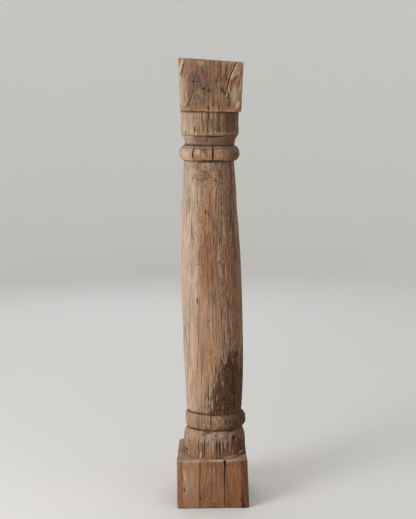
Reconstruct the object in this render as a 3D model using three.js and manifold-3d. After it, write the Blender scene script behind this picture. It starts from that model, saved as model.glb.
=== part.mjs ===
// A carved wooden column, cut from one timber: square base block, round collar, crude lower ring,
// swelling shaft, upper ring, hollow moulding, drum and square cap block. Millimetres, +Z up.
// The origin is the middle of the underside, +X is to the right and -Y is the front.

import * as THREE from "three";
import { mergeVertices } from "three/addons/utils/BufferGeometryUtils.js";
import Module from "manifold-3d";

const wasm = await Module();
wasm.setup();

// Base block: widest at the floor, with a back that is a little narrower than its front.
const BASE = {
  height: 166,
  width: 237,
  depth: 220,
  cornerRadius: 6,
  arris: 4,
  topLeft: -117,
  topRight: 113,
  topDepth: 218,
  backShare: 0.97,
};

// Cap block: narrower below, with a top that was cut off out of level.
const CAP = {
  top: 1438,
  bottom: 1281,
  width: 202,
  depth: 194,
  centre: 9.5,
  cornerRadius: 7,
  arris: 5,
  bottomWidth: 191,
  bottomDepth: 188,
  bottomCentre: 7.75,
  topSlope: -0.0784,
  bottomSlope: -0.042,
};

// Round parts from the base block up: heights above the floor and radii.
const COLLAR = { foot: 104.2, flare: 3, upright: 16, radius: 103, shoulder: 212, top: 247, neck: 91 };
const LOWER_RING = { middle: 276, halfHeight: 26, root: 90, reach: 11.2, shift: 3.2 };
const SHAFT = { bottom: 305, top: 1125, swell: 99, swellHeight: 549, thinned: 20.5, footThinned: 8.2 };
const UPPER_RING = { middle: 1150.5, halfHeight: 24, root: 79, reach: 17 };
const HOLLOW = { bottom: 1179, radius: 78.8, cove: 11, top: 1206, lipRadius: 88.8 };
const DRUM = { bottom: 1216, radius: 91.8, waist: 90.8, rounded: 6 };

// How far the round parts' axis stands to the right of the middle, from the collar upwards.
const AXIS = { foot: 7.4, upper: 0.7, drum: 3.9, bow: [330, 1040], drumStep: [1110, 1230] };

// The mouldings above the shaft fall to the right by this slope.
const UPPER_FALL = { slope: -0.026, from: 1060, to: 1125 };

// The lower ring was cut a little higher in front than behind.
const RING_TILT = { slope: -0.09, sideSlope: -0.018, from: 195, full: 232, last: 305, to: 360 };

// Hand work: how far the round parts are out of round, in waves around and along them.
const HEWN = [
  { amount: 0.8, waves: 2, rise: 260 },
  { amount: 0.6, waves: 3, rise: -170 },
];
const LUMPS = [
  { amount: 1.3, waves: 5, start: 0.6 },
  { amount: 0.8, waves: 9, start: 2.1 },
];

const ROUND_SIDES = 60;
const SHAFT_STEPS = 16;
const RING_STEPS = 8;
const BURIED = 40;

// Drying splits in the front faces: each path point is x, height and the opening's width.
const BASE_SPLITS = [
  { depth: 30, path: [[43, 170, 8.5], [41.5, 136, 4.5], [39, 79, 2.6], [38, -4, 2.2]] },
  { depth: 16, path: [[-40, 170, 2.4], [-42, 97, 1.8], [-43, -4, 2.2]] },
  { depth: 18, path: [[93, 96, 0.8], [96, 54, 2.2], [100, -4, 5]] },
];
const CAP_SPLITS = [
  { depth: 24, path: [[89, 1441, 4], [78, 1414, 4.5], [64, 1375, 4], [58, 1357, 3.2], [66, 1337, 2.2]] },
  { depth: 16, path: [[104, 1404, 3], [89, 1392, 3], [76, 1384, 2.4], [68, 1350, 1]] },
  { depth: 14, path: [[66, 1340, 2], [64, 1317, 2.4], [69, 1274, 1.6]] },
  { depth: 12, path: [[-43, 1350, 0.8], [-54, 1320, 2.2], [-71, 1290, 2.6]] },
  { depth: 12, path: [[1, 1304, 2], [-1, 1272, 4]] },
];

// Drying splits in the round parts: each path point is the turn from the front in degrees,
// the height and the opening's width.
const ROUND_SPLITS = [
  { depth: 14, path: [[-3.5, 1284, 3], [-4, 1240, 2.2], [-5, 1196, 1.4]] },
  { depth: 16, path: [[5, 1178, 2.6], [5, 1150, 3.4], [5, 1126, 1.4]] },
  { depth: 12, path: [[-33, 1174, 1.6], [-33, 1150, 2.4], [-34, 1128, 1.2]] },
  { depth: 14, path: [[-44, 1062, 1.2], [-37, 984, 2], [-39, 905, 3.4], [-38, 880, 1]] },
  { depth: 16, path: [[17, 690, 1.2], [17, 613, 2.6], [19, 508, 1.2]] },
  { depth: 18, path: [[36, 548, 1], [41, 440, 3], [42, 330, 1.6]] },
  { depth: 14, path: [[-49, 660, 1], [-53, 520, 2.4], [-60, 400, 1.2]] },
  { depth: 18, path: [[-8, 304, 2.4], [-9, 276, 4], [-8, 252, 2]] },
  { depth: 18, path: [[150, 1060, 1.2], [153, 820, 3.6], [151, 540, 1.4]] },
  { depth: 16, path: [[-128, 900, 1.2], [-126, 660, 3], [-127, 380, 1.4]] },
  { depth: 16, path: [[104, 1010, 1.2], [101, 860, 2.6], [102, 700, 1.2]] },
];

// Chips out of the blocks: the middle, the half sizes and the lean to the right in degrees.
const BLOCK_CHIPS = [
  { at: [-97, -103, 1426], half: [10, 11, 44], lean: 5 },
  { at: [116, -113, 170], half: [14, 12, 9], lean: 24 },
  { at: [120, 98, 18], half: [8, 14, 30], lean: 6 },
  { at: [-115, 106, 158], half: [16, 9, 22], lean: 12 },
  { at: [42, -104, 1441.5], half: [30, 10, 6], lean: 3 },
];

// Chips out of the round parts: the turn from the front in degrees and the height of the middle,
// and the half sizes across, inwards and upwards.
const ROUND_CHIPS = [
  { turn: -76, height: 168, half: [13, 8, 6] },
  { turn: -48, height: 300, half: [20, 6, 7] },
  { turn: 34, height: 254, half: [26, 7, 6] },
  { turn: -14, height: 250, half: [18, 6, 5] },
  { turn: -22, height: 1177, half: [17, 6, 5] },
  { turn: 128, height: 1140, half: [18, 7, 8] },
  { turn: -150, height: 292, half: [22, 7, 9] },
];

// The cap's broken corner, front right below: a point on the break and the way that it faces.
const BREAK = { at: [92, -94, 1290], facing: [0.62, -0.5, -0.6], size: 70 };

// How far a cutter starts outside the surface that it cuts.
const CLEAR = 6;

// The value at a share of the way from one value to another.
function between(low, high, share) {
  return low + (high - low) * share;
}

// How close a height is to a ring's middle: one there and nothing past its edges.
function ringShare(height) {
  const distance = (height - LOWER_RING.middle) / (LOWER_RING.halfHeight + 6);
  return Math.max(0, 1 - distance * distance);
}

// How much of the lower ring's tilt a height takes.
function tiltShare(height) {
  const rise = THREE.MathUtils.smoothstep(height, RING_TILT.from, RING_TILT.full);
  return rise * (1 - THREE.MathUtils.smoothstep(height, RING_TILT.last, RING_TILT.to));
}

// The round parts' axis, as the distance to the right of the middle at a height.
function axisAt(height) {
  const bow = THREE.MathUtils.smoothstep(height, ...AXIS.bow);
  const drum = THREE.MathUtils.smoothstep(height, ...AXIS.drumStep);
  const ring = LOWER_RING.shift * ringShare(height);
  return between(AXIS.foot, AXIS.upper, bow) + (AXIS.drum - AXIS.upper) * drum + ring;
}

// How far a point of the round parts stands proud of the true circle.
function outOfRound(angle, height) {
  let proud = 0;
  HEWN.forEach(({ amount, waves, rise }) => {
    proud += amount * Math.sin(waves * angle + height / rise);
  });
  LUMPS.forEach(({ amount, waves, start }) => {
    proud += amount * Math.sin(waves * angle + start) * ringShare(height);
  });
  return proud;
}

// The shaft's radius at a height: widest at a third, thinner towards both ends.
function shaftRadius(height) {
  if (height > SHAFT.swellHeight) {
    const share = (height - SHAFT.swellHeight) / (SHAFT.top - SHAFT.swellHeight);
    return SHAFT.swell - SHAFT.thinned * share ** 2.5;
  }
  const share = (SHAFT.swellHeight - height) / (SHAFT.swellHeight - SHAFT.bottom);
  return SHAFT.swell - SHAFT.footThinned * share ** 2;
}

// The shaft's outline from the lower to the upper ring.
function shaftOutline() {
  const outline = [];
  for (let step = 0; step <= SHAFT_STEPS; step += 1) {
    const height = between(SHAFT.bottom, SHAFT.top, step / SHAFT_STEPS);
    outline.push(new THREE.Vector2(shaftRadius(height), height));
  }
  return outline;
}

// A ring's rounded outline from its lower to its upper edge.
function ringOutline({ middle, halfHeight, root, reach }) {
  const quarter = Math.PI / 2;
  const round = new THREE.EllipseCurve(root, middle, reach, halfHeight, -quarter, quarter);
  return round.getPoints(RING_STEPS);
}

// The collar's outline: flared foot, upright side and worn, rounded shoulder.
function collarOutline() {
  const foot = new THREE.QuadraticBezierCurve(
    new THREE.Vector2(COLLAR.foot, BASE.height - COLLAR.flare),
    new THREE.Vector2(COLLAR.radius, BASE.height + COLLAR.flare),
    new THREE.Vector2(COLLAR.radius, BASE.height + COLLAR.upright),
  );
  const shoulder = new THREE.QuadraticBezierCurve(
    new THREE.Vector2(COLLAR.radius - 0.7, COLLAR.shoulder),
    new THREE.Vector2(COLLAR.radius - 1.2, COLLAR.top - 11),
    new THREE.Vector2(COLLAR.neck, COLLAR.top),
  );
  return [...foot.getPoints(3), ...shoulder.getPoints(5)];
}

// The hollow moulding between the upper ring and the drum, with the drum's rounded lower edge.
function hollowOutline() {
  const cove = new THREE.QuadraticBezierCurve(
    new THREE.Vector2(HOLLOW.radius, HOLLOW.bottom),
    new THREE.Vector2(HOLLOW.radius, HOLLOW.top - HOLLOW.cove),
    new THREE.Vector2(HOLLOW.lipRadius, HOLLOW.top),
  );
  return [...cove.getPoints(5), new THREE.Vector2(DRUM.radius, DRUM.bottom)];
}

// The drum's outline, slightly waisted, running on into the cap.
function drumOutline() {
  return [
    new THREE.Vector2(DRUM.waist, between(DRUM.bottom, CAP.bottom, 0.5)),
    new THREE.Vector2(DRUM.radius, CAP.bottom - DRUM.rounded),
    new THREE.Vector2(DRUM.waist, CAP.bottom + BURIED),
  ];
}

// The whole round outline, from the axis inside the base block to the axis inside the cap.
function roundOutline() {
  return [
    new THREE.Vector2(0, BASE.height - BURIED),
    new THREE.Vector2(COLLAR.neck, BASE.height - BURIED),
    ...collarOutline(),
    ...ringOutline(LOWER_RING),
    ...shaftOutline(),
    ...ringOutline(UPPER_RING),
    ...hollowOutline(),
    ...drumOutline(),
    new THREE.Vector2(0, CAP.bottom + BURIED),
  ];
}

// Moves every vertex of a geometry by a function that changes a point in place.
function moveVertices(geometry, change) {
  const places = geometry.attributes.position;
  const point = new THREE.Vector3();
  for (let index = 0; index < places.count; index += 1) {
    point.fromBufferAttribute(places, index);
    change(point);
    places.setXYZ(index, point.x, point.y, point.z);
  }
  return geometry;
}

// Sets a point of the true round form where the hand-carved one has it.
function carve(point) {
  const radius = Math.hypot(point.x, point.y);
  const height = point.z;
  if (radius > 0) {
    const angle = Math.atan2(point.x, -point.y);
    const share = 1 + outOfRound(angle, height) / radius;
    point.x *= share;
    point.y *= share;
  }
  point.z += UPPER_FALL.slope * point.x * THREE.MathUtils.smoothstep(height, UPPER_FALL.from, UPPER_FALL.to);
  point.z += (RING_TILT.slope * point.y + RING_TILT.sideSlope * point.x) * tiltShare(height);
  point.x += axisAt(height);
}

// The round parts as one body about their slightly bowed axis.
function roundParts() {
  const geometry = new THREE.LatheGeometry(roundOutline(), ROUND_SIDES);
  geometry.rotateX(Math.PI / 2);
  return moveVertices(geometry, carve);
}

// A rectangle with rounded corners about the origin.
function roundedRectangle(width, depth, radius) {
  const shape = new THREE.Shape();
  const x = width / 2 - radius;
  const y = depth / 2 - radius;
  shape.absarc(x, y, radius, 0, Math.PI / 2);
  shape.absarc(-x, y, radius, Math.PI / 2, Math.PI);
  shape.absarc(-x, -y, radius, Math.PI, Math.PI * 1.5);
  shape.absarc(x, -y, radius, Math.PI * 1.5, Math.PI * 2);
  shape.closePath();
  return shape;
}

// An upright block with worn arrises, standing on the height 0.
function wornBlock({ width, depth, cornerRadius, arris }, height) {
  const geometry = new THREE.ExtrudeGeometry(roundedRectangle(width, depth, cornerRadius), {
    depth: height - 2 * arris,
    steps: 2,
    curveSegments: 3,
    bevelThickness: arris,
    bevelSize: arris,
    bevelOffset: -arris,
    bevelSegments: 2,
  });
  return geometry.translate(0, 0, arris);
}

// The base block, narrowing a little towards its top and its back.
function baseBlock() {
  const topWidth = BASE.topRight - BASE.topLeft;
  const topCentre = (BASE.topRight + BASE.topLeft) / 2;
  return moveVertices(wornBlock(BASE, BASE.height), (point) => {
    const share = point.z / BASE.height;
    const back = point.y / BASE.depth + 0.5;
    point.x *= between(1, topWidth / BASE.width, share) * between(1, BASE.backShare, back);
    point.x += topCentre * share;
    point.y *= between(1, BASE.topDepth / BASE.depth, share);
  });
}

// The cap block, narrowing towards its underside, with both ends out of level.
function capBlock() {
  const height = CAP.top - CAP.bottom;
  return moveVertices(wornBlock(CAP, height), (point) => {
    const share = point.z / height;
    point.x *= between(CAP.bottomWidth / CAP.width, 1, share);
    point.y *= between(CAP.bottomDepth / CAP.depth, 1, share);
    point.z += CAP.bottom + point.x * between(CAP.bottomSlope, CAP.topSlope, share);
    point.x += between(CAP.bottomCentre, CAP.centre, share);
  });
}

// A wedge-shaped blade whose edge lies at the given depth under a path on the surface.
// Each station has its place on the surface, the way in and the opening's width.
function blade(stations, depth) {
  const corners = [];
  stations.forEach(({ place, inward, width }, index) => {
    const before = stations[Math.max(index - 1, 0)].place;
    const after = stations[Math.min(index + 1, stations.length - 1)].place;
    const across = after.clone().sub(before).cross(inward).normalize();
    const opening = (width / 2) * (1 + CLEAR / depth);
    const outside = place.clone().addScaledVector(inward, -CLEAR);
    corners.push(outside.clone().addScaledVector(across, opening));
    corners.push(outside.clone().addScaledVector(across, -opening));
    corners.push(place.clone().addScaledVector(inward, depth));
  });
  const faces = [];
  for (let row = 0; row < stations.length - 1; row += 1) {
    for (let side = 0; side < 3; side += 1) {
      const near = row * 3 + side;
      const next = row * 3 + ((side + 1) % 3);
      faces.push(near, next, next + 3, near, next + 3, near + 3);
    }
  }
  const last = (stations.length - 1) * 3;
  faces.push(0, 2, 1, last, last + 1, last + 2);
  const geometry = new THREE.BufferGeometry().setFromPoints(corners);
  geometry.setIndex(faces);
  return geometry;
}

// The blade of a split in a front face, where frontAt gives the face's y at a height.
function faceSplit({ depth, path }, frontAt) {
  const inward = new THREE.Vector3(0, 1, 0);
  const stations = path.map(([x, height, width]) => ({
    place: new THREE.Vector3(x, frontAt(height), height),
    inward,
    width,
  }));
  return blade(stations, depth);
}

// The radius of the round parts at a height, read off the outline.
function radiusAt(height) {
  const outline = roundOutline();
  const upper = outline.findIndex((point, index) => index > 1 && point.y >= height);
  const above = outline[upper];
  const below = outline[upper - 1];
  return between(below.x, above.x, (height - below.y) / (above.y - below.y));
}

// The place on the round parts at a turn from the front in degrees, and the way in from there.
function roundStation(turn, height) {
  const angle = THREE.MathUtils.degToRad(turn);
  const inward = new THREE.Vector3(-Math.sin(angle), Math.cos(angle), 0);
  const place = inward.clone().multiplyScalar(-radiusAt(height));
  place.z = height;
  carve(place);
  return { place, inward };
}

// The blade of a split in the round parts.
function roundSplit({ depth, path }) {
  return blade(path.map(([turn, height, width]) => ({ ...roundStation(turn, height), width })), depth);
}

// A chip out of a block, as a flattened, faceted ball.
function blockChip({ at, half, lean }) {
  const geometry = new THREE.IcosahedronGeometry(1, 1);
  geometry.scale(...half);
  geometry.rotateY(THREE.MathUtils.degToRad(lean));
  return geometry.translate(...at);
}

// A chip out of the round parts, turned to face outwards.
function roundChip({ turn, height, half }) {
  const geometry = new THREE.IcosahedronGeometry(1, 1);
  geometry.scale(...half);
  geometry.rotateZ(THREE.MathUtils.degToRad(turn));
  return geometry.translate(...roundStation(turn, height).place.toArray());
}

// A cube with one face on the cap's broken corner.
function brokenCorner({ at, facing, size }) {
  const geometry = new THREE.BoxGeometry(size, size, size);
  geometry.translate(0, 0, size / 2);
  const out = new THREE.Vector3(...facing).normalize();
  const turn = new THREE.Quaternion().setFromUnitVectors(new THREE.Vector3(0, 0, 1), out);
  geometry.applyQuaternion(turn);
  return geometry.translate(...at);
}

// The volume inside a mesh, negative when its faces point inwards.
function signedVolume(positions, indices) {
  const corner = (offset) => new THREE.Vector3().fromArray(positions, indices[offset] * 3);
  let volume = 0;
  for (let face = 0; face < indices.length; face += 3) {
    volume += corner(face).dot(corner(face + 1).cross(corner(face + 2))) / 6;
  }
  return volume;
}

// Turns a closed geometry into a solid that can be joined and cut.
function toSolid(geometry) {
  geometry.deleteAttribute("normal");
  geometry.deleteAttribute("uv");
  const merged = mergeVertices(geometry, 1e-4);
  const vertProperties = Float32Array.from(merged.attributes.position.array);
  const triVerts = Uint32Array.from(merged.index.array);
  if (signedVolume(vertProperties, triVerts) < 0) {
    triVerts.reverse();
  }
  return new wasm.Manifold(new wasm.Mesh({ numProp: 3, vertProperties, triVerts }));
}

// Turns a solid back into a geometry with flat faces.
function toGeometry(solid) {
  const { vertProperties, triVerts } = solid.getMesh();
  const geometry = new THREE.BufferGeometry();
  geometry.setAttribute("position", new THREE.BufferAttribute(vertProperties, 3));
  geometry.setIndex(new THREE.BufferAttribute(triVerts, 1));
  return geometry;
}

// The y of the base block's front face, which is as good as upright.
function baseFront() {
  return -BASE.depth / 2;
}

// The y of the cap block's front face, which leans out towards the top.
function capFront(height) {
  const share = (height - CAP.bottom) / (CAP.top - CAP.bottom);
  return -between(CAP.bottomDepth, CAP.depth, share) / 2;
}

// The column as one body, joined from its forms and then split, chipped and broken.
function carvedColumn() {
  const cutters = [
    ...BASE_SPLITS.map((split) => faceSplit(split, baseFront)),
    ...CAP_SPLITS.map((split) => faceSplit(split, capFront)),
    ...ROUND_SPLITS.map(roundSplit),
    ...BLOCK_CHIPS.map(blockChip),
    ...ROUND_CHIPS.map(roundChip),
    brokenCorner(BREAK),
  ];
  let solid = toSolid(roundParts()).add(toSolid(baseBlock())).add(toSolid(capBlock()));
  cutters.forEach((cutter) => {
    solid = solid.subtract(toSolid(cutter));
  });
  return toGeometry(solid);
}

const WOOD = new THREE.MeshStandardMaterial({
  name: "weathered_wood",
  color: new THREE.Color(0.42, 0.26, 0.15),
  roughness: 0.78,
  metalness: 0,
  flatShading: true,
});

const column = new THREE.Mesh(carvedColumn(), WOOD);
column.name = "carved_column";

const group = new THREE.Group();
group.add(column);

export default group;
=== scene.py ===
"""Looks of a carved wooden column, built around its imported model. Lengths are in metres."""

import logging
import math
from dataclasses import dataclass
from enum import Enum, auto
from functools import partial, reduce
from typing import Callable, Sequence

import bpy
import numpy as np
from mathutils import Euler, Matrix, Vector


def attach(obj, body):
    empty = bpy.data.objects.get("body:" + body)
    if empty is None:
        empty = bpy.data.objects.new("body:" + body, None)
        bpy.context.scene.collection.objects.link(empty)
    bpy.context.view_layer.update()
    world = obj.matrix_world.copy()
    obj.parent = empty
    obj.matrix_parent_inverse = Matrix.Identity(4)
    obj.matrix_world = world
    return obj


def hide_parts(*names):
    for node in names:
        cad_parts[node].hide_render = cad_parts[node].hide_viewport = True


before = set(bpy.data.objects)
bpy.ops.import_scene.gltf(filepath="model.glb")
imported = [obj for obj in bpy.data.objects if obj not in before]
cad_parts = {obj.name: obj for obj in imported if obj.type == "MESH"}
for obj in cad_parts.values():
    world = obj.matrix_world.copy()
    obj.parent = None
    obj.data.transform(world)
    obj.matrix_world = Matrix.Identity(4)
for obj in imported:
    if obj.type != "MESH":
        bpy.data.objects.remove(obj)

logging.basicConfig(level=logging.INFO, format="%(name)s: %(message)s")
LOG = logging.getLogger("column")

NODE = "carved_column"
BODY = "root"

# The tables of splits and patches are in millimetres.
MM = 1000.0
# Where two faces meet at more than this angle, in degrees, the edge looks sharp.
SHARP_ANGLE = 48.0

Array = np.ndarray
Values = float | Array
Stop = tuple[float, float, float]
Point = tuple[float, float, float]
Place = Callable[[Array], Array]
Colour = tuple[float, float, float, float]
Socket = bpy.types.NodeSocket


class Zone(Enum):
    """Stretches of the column's surface, from the underside to the top."""

    UNDERSIDE = auto()
    BASE_SIDE = auto()
    BASE_TOP = auto()
    COLLAR = auto()
    LOWER_RING = auto()
    SHAFT = auto()
    UPPER_RING = auto()
    HOLLOW = auto()
    DRUM = auto()
    CAP_SOFFIT = auto()
    CAP_SIDE = auto()
    CAP_TOP = auto()


class Side(Enum):
    """Sides of a block, as quarter turns from the front."""

    FRONT = 0.0
    RIGHT = 0.25
    LEFT = -0.25


BASE_ZONES = (Zone.BASE_SIDE, Zone.BASE_TOP)
CAP_ZONES = (Zone.CAP_SIDE, Zone.CAP_TOP)
END_GRAIN_ZONES = (Zone.UNDERSIDE, Zone.BASE_TOP, Zone.CAP_TOP)
ROUND_ZONES = (Zone.COLLAR, Zone.LOWER_RING, Zone.SHAFT, Zone.UPPER_RING, Zone.HOLLOW, Zone.DRUM)


def between(low: Values, high: Values, share: Values) -> Values:
    """Return the value at a share of the way from low to high."""
    return low + (high - low) * share


def part_way(turns: Array, first: Place, second: Place, share: float) -> Array:
    """Return the points at a share of the way from one row to another."""
    return between(first(turns), second(turns), share)


def rounded(radius: float) -> list[tuple[float, float]]:
    """Return how far each stop round an arris lies back from the one face and from the other."""
    angles = [math.pi / 2 * number / 3 for number in range(4)]
    return [(radius * (1.0 - math.sin(angle)), radius * (1.0 - math.cos(angle))) for angle in angles]


def smooth(value: Values, low: float, high: float) -> Array:
    """Ease from 0 at low to 1 at high.

    Args:
        value: The numbers to ease.
        low: Where the result leaves 0.
        high: Where the result reaches 1.

    Returns:
        The eased numbers.
    """
    share = np.clip((np.asarray(value, float) - low) / (high - low), 0.0, 1.0)
    return share * share * (3.0 - 2.0 * share)


def steps(start: float, stop: float, step: float) -> list[float]:
    """Return even stops after start up to and with stop, about a step apart."""
    count = max(1, round(abs(stop - start) / step))
    return [between(start, stop, number / count) for number in range(1, count + 1)]


@dataclass
class Row:
    """One closed loop of the surface.

    Attributes:
        zone: The stretch of surface that the row lies on.
        run: The height of the row, or the way from an edge on a level face.
        place: Gives the points of the row for an array of turns.
        furrow: How deep the grain furrows are here, as a share.
        crude: How lumpy the carving is here, as a share.
        edge: How near the row is to a worn arris, as a share.
        crease: How much dirt and painted shade lies here, as a share.
        ledge: How much the row faces up and gathers dust, as a share.
        to_edge: The distance to the nearest sharp arris.
    """

    zone: Zone
    run: float
    place: Place
    furrow: float = 0.5
    crude: float = 0.0
    edge: float = 0.0
    crease: float = 0.0
    ledge: float = 0.0
    to_edge: float = 1.0


def unit_square(turns: Array) -> tuple[Array, Array]:
    """Walk round a square of half size 1, evenly along its sides.

    Args:
        turns: Places round the square, from -0.5 to 0.5, with 0 at the front's middle.

    Returns:
        The x and y of each place.
    """
    walk = np.abs(turns) * 8.0
    x = np.where(walk < 1.0, walk, np.where(walk < 3.0, 1.0, 4.0 - walk))
    y = np.where(walk < 1.0, -1.0, np.where(walk < 3.0, walk - 2.0, 1.0))
    return x * np.where(turns < 0.0, -1.0, 1.0), y


def block_loop(turns: Array, half: tuple[float, float], corner: Values) -> Array:
    """Walk round a rectangle with rounded corners.

    Args:
        turns: Places round the rectangle, from -0.5 to 0.5.
        half: The half width and half depth.
        corner: The radius of the corners, for all or for each place.

    Returns:
        One x and y for each place.
    """
    square_x, square_y = unit_square(turns)
    flat = np.stack([square_x * half[0], square_y * half[1]], axis=1)
    radius = np.broadcast_to(np.asarray(corner, float), turns.shape)[:, None]
    inner = np.clip(flat, radius - np.array(half), np.array(half) - radius)
    out = flat - inner
    length = np.maximum(np.linalg.norm(out, axis=1, keepdims=True), 1e-9)
    return inner + out / length * radius


@dataclass(frozen=True)
class BaseBlock:
    """The square block at the foot, widest at the floor."""

    height: float = 0.166
    width: float = 0.237
    depth: float = 0.22
    corner: float = 0.006
    arris: float = 0.004
    top_left: float = -0.117
    top_right: float = 0.113
    top_depth: float = 0.218
    back_share: float = 0.97
    side_step: float = 0.0075

    def loop(self, turns: Array, level: float, inset: float, share: float = 1.0) -> Array:
        """Give the block's outline at a level.

        Args:
            turns: Places round the block.
            level: The height above the floor.
            inset: How far the outline is drawn in.
            share: The outline's size as a share, for rings on the underside.

        Returns:
            One point for each place.
        """
        half = (self.width / 2 - inset, self.depth / 2 - inset)
        flat = block_loop(turns, half, max(self.corner - inset, 0.001)) * share
        up = level / self.height
        back = flat[:, 1] / self.depth + 0.5
        top_width = self.top_right - self.top_left
        x = flat[:, 0] * between(1.0, top_width / self.width, up) * between(1.0, self.back_share, back)
        x = x + (self.top_left + self.top_right) / 2 * up
        y = flat[:, 1] * between(1.0, self.top_depth / self.depth, up)
        return np.stack([x, y, np.full_like(x, level)], axis=1)

    def rows(self, foot: Place) -> list[Row]:
        """List the block's rows from the middle of its underside to the collar's foot.

        Args:
            foot: Gives the points of the collar's lowest row.

        Returns:
            The rows in order.
        """
        made = []
        for share in (0.04, 0.35, 0.65, 0.9):
            run = -(1.0 - share) * self.width / 2
            place = partial(self.loop, level=0.0, inset=self.arris, share=share)
            made.append(Row(Zone.UNDERSIDE, run, place, furrow=0.0, to_edge=-run))
        for number, (inset, level) in enumerate(rounded(self.arris)):
            place = partial(self.loop, level=level, inset=inset)
            zone = Zone.BASE_SIDE if number else Zone.UNDERSIDE
            made.append(Row(zone, level, place, furrow=0.1 * number, edge=0.3, crease=0.5, to_edge=level))
        for level in steps(self.arris, self.height - self.arris, self.side_step):
            near = min(level, self.height - level)
            edge = 0.8 * float(1.0 - smooth(self.height - level, 0.0, 0.016))
            crease = 0.5 * float(1.0 - smooth(level, 0.0, 0.02))
            place = partial(self.loop, level=level, inset=0.0)
            made.append(Row(Zone.BASE_SIDE, level, place, 0.3, 0.1, edge, crease, to_edge=near))
        for drop, inset in rounded(self.arris)[1:]:
            level = self.height - drop
            place = partial(self.loop, level=level, inset=inset)
            made.append(Row(Zone.BASE_SIDE, level, place, 0.2, 0.3, 1.0, ledge=0.6, to_edge=0.0))
        rim = partial(self.loop, level=self.height, inset=self.arris)
        for share in (0.12, 0.3, 0.5, 0.7, 0.86):
            place = partial(part_way, first=rim, second=foot, share=share)
            way = share * 0.02
            edge, crease = 0.7 * (1.0 - share), 0.6 * share**6
            made.append(Row(Zone.BASE_TOP, self.height + way, place, 0.25, 0.3, edge, crease, 1.0, way))
        return made


@dataclass(frozen=True)
class Ring:
    """A rounded ring moulding.

    Attributes:
        middle: The height of its middle.
        half_height: Half its height.
        root: The radius that it stands on.
        reach: How far it stands proud.
        crude: How lumpy its carving is, as a share.
    """

    middle: float
    half_height: float
    root: float
    reach: float
    crude: float

    def closeness(self, height: Values) -> Array:
        """Return 1 at the ring's middle and 0 past its edges."""
        distance = (np.asarray(height) - self.middle) / (self.half_height + 0.006)
        return np.maximum(0.0, 1.0 - distance * distance)


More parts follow.
